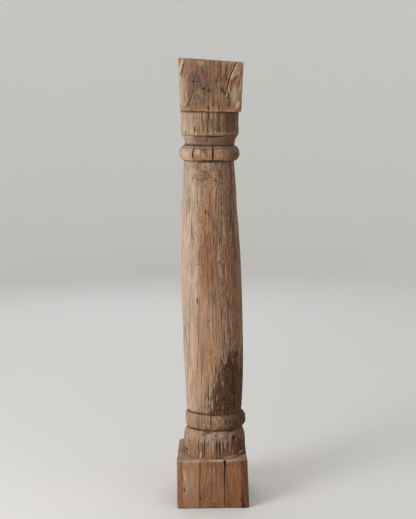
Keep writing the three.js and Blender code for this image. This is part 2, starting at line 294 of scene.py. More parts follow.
@dataclass(frozen=True)
class RoundParts:
    """Everything round: collar, lower ring, shaft, upper ring, hollow and drum.

    Attributes:
        thinned: How much thinner the shaft is at its top than at its swell.
        foot_thinned: How much thinner it is at its bottom.
        axis_foot: How far the axis stands to the right at the foot, and likewise further up.
        ring_shift: How much further to the right the lower ring stands.
        fall: The slope of the upper mouldings to the right.
        ring_tilt: The slope of the lower ring towards the back.
        ring_side_fall: Its slope to the right.
        ring_steps: The number of steps round a ring's bulge.
        groove_row: Which of the upper ring's rows the scratched groove follows.
        groove_depth: How deep the groove is.
    """

    lower: Ring = Ring(0.276, 0.026, 0.09, 0.0112, 0.65)
    upper: Ring = Ring(1.1505, 0.024, 0.079, 0.017, 0.1)
    foot_radius: float = 0.1042
    collar_radius: float = 0.103
    collar_foot: float = 0.166
    shoulder: float = 0.212
    collar_top: float = 0.247
    neck: float = 0.091
    shaft_bottom: float = 0.305
    shaft_top: float = 1.125
    swell: float = 0.099
    swell_height: float = 0.549
    thinned: float = 0.0205
    foot_thinned: float = 0.0082
    hollow_bottom: float = 1.179
    hollow_radius: float = 0.0788
    hollow_top: float = 1.206
    lip_radius: float = 0.0888
    drum_bottom: float = 1.216
    drum_radius: float = 0.0918
    drum_waist: float = 0.0908
    axis_foot: float = 0.0074
    axis_upper: float = 0.0007
    axis_drum: float = 0.0039
    ring_shift: float = 0.0032
    fall: float = -0.026
    ring_tilt: float = 0.09
    ring_side_fall: float = 0.018
    shaft_step: float = 0.0082
    ring_steps: int = 17
    groove_row: int = 13
    groove_depth: float = 0.0016

    def axis(self, height: float) -> float:
        """Find how far the axis stands to the right of the middle.

        Args:
            height: The height.

        Returns:
            The distance.
        """
        bow = float(smooth(height, 0.33, 1.04))
        drum = float(smooth(height, 1.11, 1.23))
        ring = self.ring_shift * float(self.lower.closeness(height))
        shaft = between(self.axis_foot, self.axis_upper, bow)
        return shaft + (self.axis_drum - self.axis_upper) * drum + ring

    def proud(self, angle: Array, height: float) -> Array:
        """Return how far the surface stands proud of the true circle, from hand work."""
        hewn = 0.0008 * np.sin(2 * angle + height / 0.26) + 0.0006 * np.sin(3 * angle - height / 0.17)
        lumps = 0.0013 * np.sin(5 * angle + 0.6) + 0.0008 * np.sin(9 * angle + 2.1)
        return hewn + lumps * self.lower.closeness(height)

    def shaft_radius(self, height: float) -> float:
        """Find the shaft's radius: widest at a third, thinner towards both ends.

        Args:
            height: The height.

        Returns:
            The radius.
        """
        if height > self.swell_height:
            share = (height - self.swell_height) / (self.shaft_top - self.swell_height)
            return self.swell - self.thinned * share**2.5
        share = (self.swell_height - height) / (self.swell_height - self.shaft_bottom)
        return self.swell - self.foot_thinned * share**2

    def loop(self, turns: Array, radius: float, height: float) -> Array:
        """Give the round outline at a height.

        Args:
            turns: Places round the column, from -0.5 to 0.5.
            radius: The radius of the true circle.
            height: The height before the mouldings' fall.

        Returns:
            One point for each place.
        """
        angle = turns * 2.0 * math.pi
        reach = radius + self.proud(angle, height)
        x = reach * np.sin(angle)
        z = height + self.fall * x * float(smooth(height, 1.06, 1.125))
        tilted = float(smooth(height, 0.195, 0.232)) * (1.0 - float(smooth(height, 0.305, 0.36)))
        z = z + (self.ring_tilt * reach * np.cos(angle) - self.ring_side_fall * x) * tilted
        return np.stack([x + self.axis(height), -reach * np.cos(angle), z], axis=1)

    def foot(self, turns: Array) -> Array:
        """Give the points where the collar meets the base block."""
        return self.loop(turns, self.foot_radius, self.collar_foot)

    def row(self, zone: Zone, radius: float, height: float, **marks: float) -> Row:
        """Make one round row with its marks for wear and dirt."""
        return Row(zone, height, partial(self.loop, radius=radius, height=height), **marks)

    def collar_rows(self) -> list[Row]:
        """List the collar's rows: flared foot, upright side and worn shoulder.

        Returns:
            The rows in order.
        """
        made = []
        for height, extra, crease in ((0.166, 0.0012, 0.6), (0.168, 0.0009, 0.35), (0.173, 0.0003, 0.1)):
            radius = self.collar_radius + extra
            made.append(self.row(Zone.COLLAR, radius, height, furrow=0.8, crude=0.4, crease=crease))
        for height in steps(0.176, self.shoulder, 0.006):
            made.append(self.row(Zone.COLLAR, self.collar_radius - 0.0004, height, furrow=1.0, crude=0.3))
        start = (self.collar_radius - 0.0007, self.shoulder)
        turn = (self.collar_radius - 0.0012, self.collar_top - 0.011)
        end = (self.neck, self.collar_top)
        for share in steps(0.0, 1.0, 0.111):
            radius, height = bend(start, turn, end, share)
            marks = {"furrow": 0.5, "crude": 0.6, "edge": 0.8 * math.sin(math.pi * share)}
            marks["crease"] = share**10
            made.append(self.row(Zone.COLLAR, radius, height, ledge=0.8, **marks))
        return made

    def ring_rows(self, zone: Zone, ring: Ring) -> list[Row]:
        """List a ring's rows from its lower to its upper crease.

        Args:
            zone: The ring's stretch of surface.
            ring: The ring.

        Returns:
            The rows in order.
        """
        made = []
        for number in range(self.ring_steps + 1):
            angle = math.pi * (number / self.ring_steps - 0.5)
            radius = ring.root + ring.reach * math.cos(angle)
            height = ring.middle + ring.half_height * math.sin(angle)
            crease = abs(math.sin(angle)) ** (20 if angle > 0.0 and zone is Zone.LOWER_RING else 10)
            if zone is Zone.UPPER_RING and number == self.groove_row:
                radius -= self.groove_depth
                crease = 0.9
            marks = {"furrow": 0.6, "crude": ring.crude, "edge": 0.5 * math.cos(angle) ** 2}
            ledge = max(0.0, math.sin(angle))
            made.append(self.row(zone, radius, height, crease=crease, ledge=ledge, **marks))
        return made

    def shaft_rows(self) -> list[Row]:
        """List the shaft's rows, dirty at both ends.

        Returns:
            The rows in order.
        """
        made = []
        for height in steps(self.shaft_bottom, self.shaft_top, self.shaft_step):
            end = min(height - self.shaft_bottom, self.shaft_top - height)
            crease = 0.8 * float(1.0 - smooth(end, 0.0, 0.01))
            radius = self.shaft_radius(height)
            made.append(self.row(Zone.SHAFT, radius, height, furrow=0.75, crease=crease))
        return made

    def hollow_rows(self) -> list[Row]:
        """List the rows of the hollow moulding and of the drum's rounded lower edge.

        Returns:
            The rows in order.
        """
        made = []
        start = (self.hollow_radius, self.hollow_bottom)
        turn = (self.hollow_radius, self.hollow_top - 0.011)
        end = (self.lip_radius, self.hollow_top)
        for share in steps(-0.125, 1.0, 0.125):
            radius, height = bend(start, turn, end, share)
            crease = 0.8 * max(1.0 - share / 0.22, (share - 0.8) / 0.2, 0.12)
            made.append(self.row(Zone.HOLLOW, radius, height, furrow=0.3, crude=0.25, crease=crease))
        for share in (0.35, 0.7, 1.0):
            radius = between(self.lip_radius, self.drum_radius, math.sqrt(share))
            height = between(self.hollow_top, self.drum_bottom, share)
            marks = {"crude": 0.35, "edge": 0.9, "crease": 0.5 * (1.0 - share)}
            made.append(self.row(Zone.DRUM, radius, height, furrow=0.7, **marks))
        return made

    def drum_loop(self, turns: Array, radius: float, height: float, share: float, soffit: Place) -> Array:
        """Give the drum's outline, bent into the fall of the cap's underside.

        Args:
            turns: Places round the column.
            radius: The radius.
            height: The height before the bending.
            share: How far up the drum the outline lies.
            soffit: Gives the height of the cap's underside.

        Returns:
            One point for each place.
        """
        points = self.loop(turns, radius, height)
        low = self.loop(turns, radius, self.drum_bottom)[:, 2]
        points[:, 2] = between(low, soffit(points[:, 0]), share)
        return points

    def drum_rows(self, soffit: Place, top: float) -> list[Row]:
        """List the drum's rows up to the cap.

        Args:
            soffit: Gives the height of the cap's underside for an array of x.
            top: The mean height of the cap's underside.

        Returns:
            The rows in order.
        """
        made = []
        for height in steps(self.drum_bottom, top, 0.0065):
            share = (height - self.drum_bottom) / (top - self.drum_bottom)
            radius = between(self.drum_radius, self.drum_waist, math.sin(math.pi * share))
            place = partial(self.drum_loop, radius=radius, height=height, share=share, soffit=soffit)
            # Painted shade under the cap's overhang, on the drum's top rows.
            crease = float(smooth(share, 0.84, 0.95))
            made.append(Row(Zone.DRUM, height, place, furrow=0.9, crude=0.15, crease=crease))
        return made


def bend(start: tuple, turn: tuple, end: tuple, share: float) -> tuple[float, float]:
    """Return the point at a share of a quadratic curve."""
    rest = 1.0 - share
    shares = (rest * rest, 2 * rest * share, share * share)
    return tuple(shares[0] * a + shares[1] * b + shares[2] * c for a, b, c in zip(start, turn, end))


@dataclass(frozen=True)
class CapBlock:
    """The square block at the top, narrower below, with both ends out of level."""

    top: float = 1.438
    bottom: float = 1.281
    width: float = 0.202
    depth: float = 0.194
    centre: float = 0.0095
    corner: float = 0.008
    left_corner: float = 0.014
    arris: float = 0.005
    bottom_width: float = 0.191
    bottom_depth: float = 0.188
    bottom_centre: float = 0.00775
    top_slope: float = -0.0784
    bottom_slope: float = -0.042
    side_step: float = 0.0065

    @property
    def height(self) -> float:
        """The block's height at its middle."""
        return self.top - self.bottom

    def soffit(self, x: Array) -> Array:
        """Return the height of the underside at x."""
        return self.bottom + (x - self.bottom_centre) * self.bottom_slope

    def loop(self, turns: Array, level: float, inset: float, share: float = 1.0) -> Array:
        """Give the block's outline at a level above its underside.

        Args:
            turns: Places round the block.
            level: The height above the block's underside.
            inset: How far the outline is drawn in.
            share: The outline's size as a share, for rings on the top.

        Returns:
            One point for each place.
        """
        half = (self.width / 2 - inset, self.depth / 2 - inset)
        corner = np.where(turns < 0.0, self.left_corner, self.corner) - inset
        flat = block_loop(turns, half, np.maximum(corner, 0.001)) * share
        up = level / self.height
        x = flat[:, 0] * between(self.bottom_width / self.width, 1.0, up)
        y = flat[:, 1] * between(self.bottom_depth / self.depth, 1.0, up)
        z = self.bottom + level + x * between(self.bottom_slope, self.top_slope, up)
        return np.stack([x + between(self.bottom_centre, self.centre, up), y, z], axis=1)

    def rows(self, drum_top: Place) -> list[Row]:
        """List the block's rows from the drum's top to the middle of its own top.

        Args:
            drum_top: Gives the points of the drum's highest row.

        Returns:
            The rows in order.
        """
        made = []
        foot = partial(self.loop, level=0.0, inset=self.arris)
        for share in (0.15, 0.4, 0.65, 0.88):
            place = partial(part_way, first=drum_top, second=foot, share=share)
            run = self.bottom - 0.001 * (1.0 - share)
            made.append(Row(Zone.CAP_SOFFIT, run, place, 0.3, 0.2, 0.0, 1.0 - share, to_edge=0.01))
        for inset, level in rounded(self.arris):
            place = partial(self.loop, level=level, inset=inset)
            made.append(Row(Zone.CAP_SIDE, self.bottom + level, place, 0.3, 0.4, 0.9, to_edge=0.0))
        for level in steps(self.arris, self.height - self.arris, self.side_step):
            near = min(level, self.height - level)
            edge = 0.9 * float(1.0 - smooth(near, 0.0, 0.018))
            place = partial(self.loop, level=level, inset=0.0)
            made.append(Row(Zone.CAP_SIDE, self.bottom + level, place, 0.5, 0.25, edge, to_edge=near))
        for drop, inset in rounded(self.arris)[1:]:
            level = self.height - drop
            place = partial(self.loop, level=level, inset=inset)
            made.append(Row(Zone.CAP_SIDE, self.bottom + level, place, 0.3, 0.4, 1.0, to_edge=0.0))
        for share in (0.93, 0.86, 0.78, 0.68, 0.57, 0.46, 0.34, 0.22, 0.12, 0.04):
            way = (1.0 - share) * self.width / 2
            place = partial(self.loop, level=self.height, inset=self.arris, share=share)
            marks = {"edge": 0.2 * share, "ledge": 0.6}
            made.append(Row(Zone.CAP_TOP, self.top + way, place, 0.25, 0.1, to_edge=way, **marks))
        return made


@dataclass(frozen=True)
class Split:
    """A drying split that runs with the grain.

    Attributes:
        zones: The stretches of surface that it may cross.
        path: Stops of place, run and opening. The place is the way to the right of a side's
            middle, seen from outside, or on round parts the turn from the front in degrees.
        depth: How deep it goes.
        side: The side of a block that it lies in, or None on round parts.
    """

    zones: tuple[Zone, ...]
    path: Sequence[Stop]
    depth: float
    side: Side | None = None

    def turn_at(self, place: float, half_width: float) -> float:
        """Return the share of a full turn for a place along the path."""
        if self.side is None:
            return place / 360.0
        return self.side.value + place / half_width / 8.0


def face(depth: float, zones: tuple[Zone, ...], *path: Stop, side: Side = Side.FRONT) -> Split:
    """Make a split in a block's side from sizes in millimetres."""
    stops = [(place / MM, run / MM, opening / MM) for place, run, opening in path]
    return Split(zones, stops, depth / MM, side)


def bark(depth: float, *path: Stop) -> Split:
    """Make a split in the round parts from degrees and sizes in millimetres."""
    stops = [(degrees, run / MM, opening / MM) for degrees, run, opening in path]
    return Split(ROUND_ZONES, stops, depth / MM)


SPLITS = (
    face(30, BASE_ZONES, (40.5, 186, 4), (43, 166, 8.5), (41.5, 136, 4.5), (39, 79, 2.6), (38, 0, 2.2)),
    face(16, BASE_ZONES, (-40, 168, 2.4), (-42, 97, 1.8), (-43, 0, 2.2)),
    face(18, BASE_ZONES, (93, 96, 0.8), (96, 54, 2.2), (99.5, 0, 5)),
    face(24, CAP_ZONES, (70, 1475, 1), (79, 1438, 3.5), (64.5, 1405, 3.5), (56.5, 1380, 4.5),
         (50, 1352, 3.2), (57.5, 1322, 2), (60, 1300, 2.4), (63, 1284, 1.6)),
    face(14, CAP_ZONES, (90.5, 1401, 2.6), (76.5, 1387, 3), (66, 1373, 2.2), (61, 1352, 1)),
    face(12, CAP_ZONES, (-52, 1356, 0.8), (-56, 1345, 2), (-64, 1321, 2.6), (-80, 1293, 2.6),
         (-81, 1286, 1)),
    face(12, CAP_ZONES, (-8, 1304, 1.4), (-8, 1283, 4)),
    face(8, CAP_ZONES, (-18, 1437, 2.2), (-19, 1415, 1)),
    face(8, CAP_ZONES, (31, 1434, 2.4), (28, 1408, 1.2), (26, 1390, 0.8)),
    bark(14, (-3.5, 1280, 3), (-4, 1240, 2.2), (-5, 1188, 1.4)),
    bark(16, (6.5, 1178, 3.6), (6.5, 1150, 5), (6.5, 1126, 3)),
    bark(14, (-33, 1174, 3), (-33, 1150, 5.2), (-34, 1128, 2.6)),
    bark(14, (-43, 1062, 1), (-45, 1039, 1.6), (-40, 1008, 1.8), (-37, 984, 2), (-40, 942, 1.6),
         (-39, 901, 3.6), (-38, 889, 3), (-38, 876, 1)),
    bark(5, (-32, 1053, 1), (-28, 1006, 1.1), (-23, 978, 1.2), (-20, 912, 0.8)),
    bark(8, (3, 1031, 0.8), (2, 960, 1.8), (2, 930, 1)),
    bark(8, (-9, 985, 1), (-9, 969, 2.8), (-9, 955, 1)),
    bark(10, (47, 972, 1), (46, 946, 2.6), (45.5, 930, 1)),
    bark(12, (44, 872, 1), (44, 856, 3.2), (43, 838, 1.2)),
    bark(10, (-41, 800, 1), (-42, 722, 1.7), (-44, 690, 1)),
    bark(12, (-48, 668, 1), (-52, 560, 1.8), (-53, 512, 2.2), (-54, 500, 1)),
    bark(12, (-56, 476, 1), (-60, 432, 1.8), (-60, 370, 1.2)),
    bark(10, (-29, 700, 1), (-29, 686, 3), (-29, 672, 1.6), (-28, 550, 1)),
    bark(16, (17, 690, 1.2), (17, 660, 3), (17, 613, 2.4), (19, 508, 1.2)),
    bark(8, (33, 703, 1), (31.5, 640, 1.6), (31, 592, 1)),
    bark(18, (38, 587, 1.2), (36, 509, 2), (39, 478, 2.8), (41, 430, 3.8), (42, 340, 3),
         (42.5, 306, 1.4)),
    bark(10, (-19, 548, 1), (-19, 527, 1.8), (-23, 453, 2), (-25.5, 408, 1)),
    bark(10, (-18.5, 394, 1), (-18, 376, 2.2), (-19, 345, 2), (-19, 318, 1)),
    bark(13, (-11, 442, 1), (-11, 424, 2.4), (-12, 367, 3), (-12.5, 328, 1)),
    bark(10, (-53, 412, 1), (-53, 402, 2.6), (-52, 380, 2.6), (-52, 366, 1)),
    bark(10, (52, 524, 1), (52, 506, 3.4), (52, 490, 1)),
    bark(18, (-8, 304, 2.4), (-9, 276, 4), (-8, 252, 2)),
    bark(7, (-31, 226, 1), (-31.5, 205, 3.4), (-32, 184, 1)),
    bark(12, (-19, 238, 1), (-19.5, 214, 3.4), (-19.5, 168, 2)),
    bark(8, (-6, 232, 1), (-6, 200, 2.2), (-6, 172, 1)),
    bark(10, (3.5, 230, 1), (3.5, 212, 3), (3.5, 186, 1)),
    bark(12, (8.5, 232, 1), (8.5, 205, 3.4), (9, 176, 1)),
    bark(8, (15, 226, 1), (15, 200, 2.2), (15, 180, 1)),
    bark(10, (25, 234, 1), (25.5, 208, 3.6), (25, 182, 1)),
    bark(12, (35, 240, 1.4), (35.5, 222, 4.2), (35, 200, 1)),
    bark(8, (50, 222, 1), (50, 196, 2), (50, 174, 1)),
    bark(18, (150, 1060, 1.2), (153, 820, 3.6), (151, 540, 1.4)),
    bark(16, (-128, 900, 1.2), (-126, 660, 3), (-127, 380, 1.4)),
    bark(16, (104, 1010, 1.2), (101, 860, 2.6), (102, 700, 1.2)),
    bark(10, (84, 740, 1), (82, 560, 2.2), (83, 420, 1)),
    bark(10, (-92, 1090, 1), (-90, 900, 2), (-91, 760, 1)),
    bark(10, (-172, 620, 1), (-170, 450, 2), (-170, 310, 1)),
    bark(10, (122, 240, 1), (122, 205, 3), (122, 170, 1)),
    bark(10, (-110, 300, 1), (-109, 270, 3), (-110, 250, 1)),
    face(14, BASE_ZONES, (30, 168, 2.6), (34, 80, 1.6), (33, 10, 1), side=Side.RIGHT),
    face(14, BASE_ZONES, (-48, 150, 1), (-46, 80, 2), (-47, 0, 3), side=Side.LEFT),
    face(14, CAP_ZONES, (-30, 1430, 3), (-34, 1380, 2), (-37, 1310, 1), side=Side.RIGHT),
    face(14, CAP_ZONES, (26, 1400, 1), (22, 1340, 2.2), (20, 1284, 3), side=Side.LEFT),
)


@dataclass(frozen=True)
class Chip:
    """A chip knocked out of the surface, as a flattened ball.

    Attributes:
        at: The ball's middle.
        half: The ball's half sizes across, inwards and upwards.
        lean: How far it leans to the right, in degrees.
        turn: How far it is turned round the column, in degrees.
    """

    at: Point
    half: Point
    lean: float = 0.0
    turn: float = 0.0

    def bite(self, points: Array, inward: Array) -> Array:
        """Return how far in each point has to move to leave the ball.

        Args:
            points: The surface's points.
            inward: The way into the wood at each point.

        Returns:
            The distances, zero outside the ball.
        """
        turned = Euler((0.0, math.radians(self.lean), math.radians(self.turn))).to_matrix()
        frame_of_ball = np.array(turned.inverted()) / np.array(self.half)[:, None]
        start = (points - np.array(self.at)) @ frame_of_ball.T
        way = inward @ frame_of_ball.T
        a = np.einsum("...i,...i", way, way)
        b = np.einsum("...i,...i", start, way)
        c = np.einsum("...i,...i", start, start) - 1.0
        root = np.sqrt(np.maximum(b * b - a * c, 0.0))
        return np.where(c < 0.0, (-b + root) / np.maximum(a, 1e-9), 0.0)


BLOCK_CHIPS = (
    Chip((-0.097, -0.103, 1.426), (0.01, 0.011, 0.044), lean=5),
    Chip((0.116, -0.113, 0.17), (0.014, 0.012, 0.009), lean=24),
    Chip((0.12, 0.098, 0.018), (0.008, 0.014, 0.03), lean=6),
    Chip((-0.115, 0.106, 0.158), (0.016, 0.009, 0.022), lean=12),
    Chip((0.042, -0.104, 1.4415), (0.03, 0.01, 0.006), lean=3),
)
# Chips in the round parts: turn from the front in degrees, height, radius and half sizes.
ROUND_CHIPS = (
    (-76, 0.168, 0.104, (0.013, 0.008, 0.006)),
    (-48, 0.3, 0.092, (0.02, 0.006, 0.007)),
    (34, 0.254, 0.095, (0.026, 0.007, 0.006)),
    (-14, 0.25, 0.092, (0.018, 0.006, 0.005)),
    (-22, 1.177, 0.08, (0.017, 0.006, 0.005)),
    (128, 1.14, 0.093, (0.018, 0.007, 0.008)),
    (-150, 0.292, 0.098, (0.022, 0.007, 0.009)),
)


@dataclass(frozen=True)
class Break:
    """A corner broken off along a plane.

    Attributes:
        at: A point on the plane.
        facing: The way that the plane faces.
        zones: The stretches of surface that it may press back.
    """

    at: Point
    facing: Point
    zones: tuple[Zone, ...]

    def flatten(self, points: Array) -> Array:
        """Press every point outside the plane back onto it."""
        way = np.array(Vector(self.facing).normalized())
        proud = np.maximum((points - np.array(self.at)) @ way, 0.0)
        return points - proud[..., None] * way


BREAKS = (
    Break((0.092, -0.094, 1.29), (0.62, -0.5, -0.6), CAP_ZONES),
    Break((-0.083, -0.092, 1.289), (-0.6, -0.45, -0.66), CAP_ZONES),
    Break((-0.086, 0.092, 1.43), (-0.55, 0.6, 0.58), CAP_ZONES),
    Break((0.098, 0.09, 1.287), (0.55, 0.58, -0.6), CAP_ZONES),
    Break((-0.112, 0.104, 0.006), (-0.6, 0.62, -0.5), BASE_ZONES),
)


class Wear(Enum):
    """What a patch of the surface shows."""

    SILVER = "silver"
    SOOT = "soot"
    DIM = "dim"
    PALE = "pale"
    WARM = "warm"


@dataclass(frozen=True)
class Patch:
    """A soft-edged patch of wear, placed as seen squarely from the front; the pale ones are partly painted
    highlight.

    Attributes:
        wear: What it shows.
        at: The way to the right of the middle line and the height of its middle.
        half: Half its width and half its height.
        strength: How strongly it shows at its middle.
        lean: How far it leans to the right, in degrees.
    """

    wear: Wear
    at: tuple[float, float]
    half: tuple[float, float]
    strength: float = 1.0
    lean: float = 0.0

    def cover(self, points: Array, outward: Array) -> Array:
        """Return how strongly the patch shows at each point.

        Args:
            points: The surface's points.
            outward: The way out of the surface at each point.

        Returns:
            Numbers from 0 to the patch's strength.
        """
        lean = math.radians(self.lean)
        facing = -outward[..., 1]
        across, up = points[..., 0] - self.at[0], points[..., 2] - self.at[1]
        wide = (across * math.cos(lean) - up * math.sin(lean)) / self.half[0]
        high = (across * math.sin(lean) + up * math.cos(lean)) / self.half[1]
        away = np.sqrt(wide * wide + high * high)
        return self.strength * (1.0 - smooth(away, 0.3, 1.15)) * smooth(facing, 0.05, 0.35)


def patches(wear: Wear, *rows: tuple) -> tuple[Patch, ...]:
    """Make patches of one wear.

    Args:
        wear: The wear.
        rows: For each patch x, height, half width and half height in millimetres, strength and lean.

    Returns:
        The patches.
    """
    made = []
    for row in rows:
        x, height, half_width, half_height = (value / MM for value in row[:4])
        made.append(Patch(wear, (x, height), (half_width, half_height), *row[4:]))
    return tuple(made)


PATCHES = (
    *patches(
        Wear.SILVER,
        (-50, 1388, 22, 12, 1, -60), (-34, 1383, 22, 14, 1, -50), (-21, 1372, 20, 15), (-8, 1360, 17, 15),
        (5, 1349, 13, 13, 0.9), (22, 1384, 10, 10, 0.7), (28, 1376, 9, 14), (36, 1364, 11, 17),
        (46, 1350, 12, 15), (54, 1336, 13, 13), (-46, 1337, 12, 10, 0.9), (-34, 1326, 18, 14, 0.95),
        (-18, 1315, 18, 16, 0.95), (-30, 1418, 16, 12, 0.75), (-8, 1411, 14, 11, 0.7),
        (-38, 1404, 24, 10, 0.6), (64, 1318, 8, 14), (66, 1303, 7, 10, 0.9), (12, 1352, 20, 10, 0.5),
        (20, 1340, 30, 8, 0.4), (60, 1408, 7, 13, 0.8), (92, 1395, 8, 10, 0.5), (0, 1192, 55, 9, 0.55),
        (-12, 1180, 45, 4, 0.9), (38, 1178, 30, 4, 0.8), (-30, 1082, 22, 17, 0.22),
        (-38, 1058, 9, 14, 0.5), (31, 1060, 5, 35, 0.25), (31, 1010, 6, 35, 0.2), (20, 995, 5, 30, 0.2),
        (-44, 1010, 7, 30, 0.2), (-30, 960, 6, 40, 0.12), (-20, 245, 50, 10, 0.6), (24, 244, 30, 10, 0.7),
        (-20, 300, 40, 5, 0.6), (34, 300, 50, 6, 0.7),
    ),
    *patches(
        Wear.SOOT,
        (-46, 1374, 9, 6, 0.9), (-31, 1374, 7, 5, 0.8), (-14, 1351, 8, 7), (-22, 1361, 7, 5, 0.8),
        (2, 1345, 7, 8, 0.9), (26, 1374, 4, 8, 0.8), (43, 1345, 7, 7, 0.9), (50, 1336, 7, 6, 0.8),
        (57, 1380, 5, 8, 0.8), (-1, 1291, 4, 8), (-30, 1382, 4, 10, 0.7), (-44, 1226, 3.5, 13),
        (-34, 1224, 3, 10, 0.6), (32, 1226, 5, 9, 0.8), (20, 1204, 60, 3.5, 0.9),
        (-30, 1204, 24, 3.5, 0.8), (-15, 1166.5, 22, 2.5, 0.8), (22, 1166.5, 16, 2.5, 0.8),
        (-14, 1157, 3.5, 7, 0.7, 30), (10, 1128, 62, 4.5, 0.9), (-52, 1073, 3, 6),
        (-38, 1066, 3, 8, 0.7, -20), (-38, 1053, 3, 6, 0.8), (-14, 1053, 3, 6, 0.6),
        (7, 1076, 4, 10, 0.75, 15), (18, 1071, 4, 9, 1, -30), (-13, 969, 3, 7, 0.8),
        (22, 985, 3, 20, 0.5), (-38, 803, 3, 6, 0.8), (-14, 800, 3, 5, 0.7), (-43, 686, 4, 8, 0.9),
        (-6, 624, 4, 3, 0.7), (1, 523, 4, 9, 0.6), (12, 503, 3, 5, 0.8), (84, 505, 4, 14, 0.9),
        (32, 492, 4, 14, 0.8), (79, 428, 10, 30, 0.5), (12, 244, 10, 4, 0.6), (-30, 243, 10, 4, 0.6),
        (70, 232, 7, 12, 0.9), (98, 182, 6, 10, 0.8), (-88, 182, 10, 4, 0.8), (30, 168.5, 22, 2, 0.7),
        (36, 158, 6, 6), (41, 148, 6, 12, 0.8), (60, 157, 12, 3, 0.7), (94, 156, 8, 3, 0.6),
        (-93, 63, 3.5, 6), (-20, 22, 14, 2, 0.5, 70), (10, 15, 20, 2, 0.5, 86), (91, 28, 4, 10, 0.7, 10),
        (107, 93, 11, 2, 0.7), (98, 4, 8, 8), (-41, 34, 4, 6, 0.8), (-74, 1424, 2.8, 12, 1, 18),
        (-82, 1402, 2.6, 18, 1, 14),
    ),
    *patches(
        Wear.DIM,
        (0, 1374, 70, 50, 0.35), (-4, 800, 30, 110, 0.3), (90, 1340, 10, 50, 0.3), (4, 1192, 90, 18, 0.5),
        (40, 1240, 55, 50, 0.4), (58, 960, 20, 80, 0.25), (78, 800, 20, 200, 0.15),
        (20, 205, 35, 35, 0.45), (0, 150, 40, 14, 0.35), (66, 154, 24, 10, 0.35),
        (30, 1100, 50, 22, 0.15), (-15, 1140, 30, 14, 0.25), (112, 85, 13, 100, 0.6),
    ),
    # Pale patches: pale worn wood, and painted highlight along lit edges and the base's top arris.
    *patches(
        Wear.PALE,
        (-80, 1428, 5.5, 14, 1, 18), (-87, 1408, 5, 20, 1, 14), (-88, 1382, 9, 24, 0.6),
        (-82, 1340, 12, 60, 0.5), (74, 1393, 4.5, 24, 1, 28), (80, 1410, 6, 14, 0.6, 28),
        (60, 1345, 4, 26, 0.8, 12), (89, 1300, 4, 16, 0.9, 30), (83, 1330, 9, 40, 0.4),
        (-72, 1302, 4, 12, 0.6, 30), (-20, 1427, 16, 10, 0.4), (-58, 1172, 18, 4, 0.5),
        (10, 1171.5, 40, 2, 0.5), (-55, 1095, 30, 12, 0.3), (10, 1120, 20, 4, 0.5),
        (-34, 1155, 10, 12, 0.6), (-19, 1146, 8, 10, 0.5), (-35, 256, 12, 3, 1, -60),
        (24, 240, 14, 8, 0.4), (-2, 205, 9, 30, 0.6), (30, 205, 2.5, 30, 0.7), (42, 212, 2.5, 22, 0.7),
        (57, 208, 2.5, 30, 0.6), (-40, 172, 20, 3.5, 1, -82), (60, 169, 40, 3, 0.8),
        (94, 175, 12, 4, 0.8), (30, 163.5, 60, 2.5, 0.9), (-70, 162.5, 50, 2.5, 0.5),
        (-91.5, 110, 4, 30, 0.8, -6), (-87, 66, 3, 20, 0.5), (-75, 90, 20, 50, 0.2),
        (-86, 205, 3.5, 30, 0.7), (-84, 282, 6, 14, 0.5),
    ),
    *patches(
        Wear.WARM,
        (-4, 950, 22, 130, 0.5), (-6, 780, 26, 120, 0.9), (58, 830, 10, 120, 0.5), (-5, 1091, 6, 10, 0.9),
        (12, 1066, 6, 9, 0.9), (-17, 1153, 22, 14, 0.9), (16, 1148, 34, 16, 0.8), (60, 1150, 16, 12, 0.5),
        (20, 1162, 30, 4, 0.7), (-20, 1395, 60, 45, 0.5), (50, 1300, 50, 24, 0.5),
        (-20, 1235, 30, 35, 0.6), (50, 1380, 40, 50, 0.4), (-45, 430, 30, 110, 0.5),
        (-40, 545, 22, 100, 0.9), (-10, 520, 22, 70, 0.6), (0, 600, 50, 80, 0.4), (-60, 275, 26, 22, 0.7),
        (2, 268, 8, 12, 0.8), (-66, 208, 30, 34, 0.7), (-115, 85, 14, 90, 0.8), (72, 85, 34, 90, 0.6),
        (6, 205, 4, 30, 0.6), (60, 155, 24, 6, 0.6),
    ),
)

# How far the sun has bleached each stretch, as a share.
BLEACHED = {
    Zone.UNDERSIDE: 0.0,
    Zone.BASE_SIDE: 0.15,
    Zone.BASE_TOP: 0.35,
    Zone.COLLAR: 0.42,
    Zone.LOWER_RING: 0.4,
    Zone.SHAFT: 1.0,
    Zone.UPPER_RING: 0.7,
    Zone.HOLLOW: 0.6,
    Zone.DRUM: 0.85,
    Zone.CAP_SOFFIT: 0.2,
    Zone.CAP_SIDE: 0.3,
    Zone.CAP_TOP: 0.4,
}

# Painted shade: how much darker the round parts are painted on the side that faces right.
RIGHT_SHADE = {
    Zone.COLLAR: -0.98,
    Zone.LOWER_RING: -1.5,
    Zone.SHAFT: -0.5,
    Zone.UPPER_RING: -1.05,
    Zone.HOLLOW: -1.1,
    Zone.DRUM: -0.88,
}

# The dark patch low on the right: height, its left edge in degrees from the front, and strength.
DARK_PATCH = (
    (0.0, 62, 0.6), (0.166, 50, 0.6), (0.2, 34, 0.75), (0.232, 30, 0.7), (0.25, 26, 0.5),
    (0.262, 8, 0.95), (0.29, 12, 0.95), (0.305, 12, 0.7), (0.312, -10, 0.95), (0.335, -9, 1.05),
    (0.367, -8, 1.1), (0.4, -4, 1.1), (0.441, 3, 1.05), (0.473, 8, 0.92), (0.5, 16, 0.72),
    (0.52, 27, 0.58), (0.56, 40, 0.4), (0.6, 50, 0.22), (0.66, 58, 0.0),
)

# Hairline checks: how far apart and how long they are, how wide they gape, seed, and strength.
CHECKS = (
    (0.02, 0.6, 0.0021, 4.0, 0.88),
    (0.011, 0.28, 0.0017, 12.0, 0.78),
    (0.007, 0.1, 0.0014, 23.0, 0.6),
)

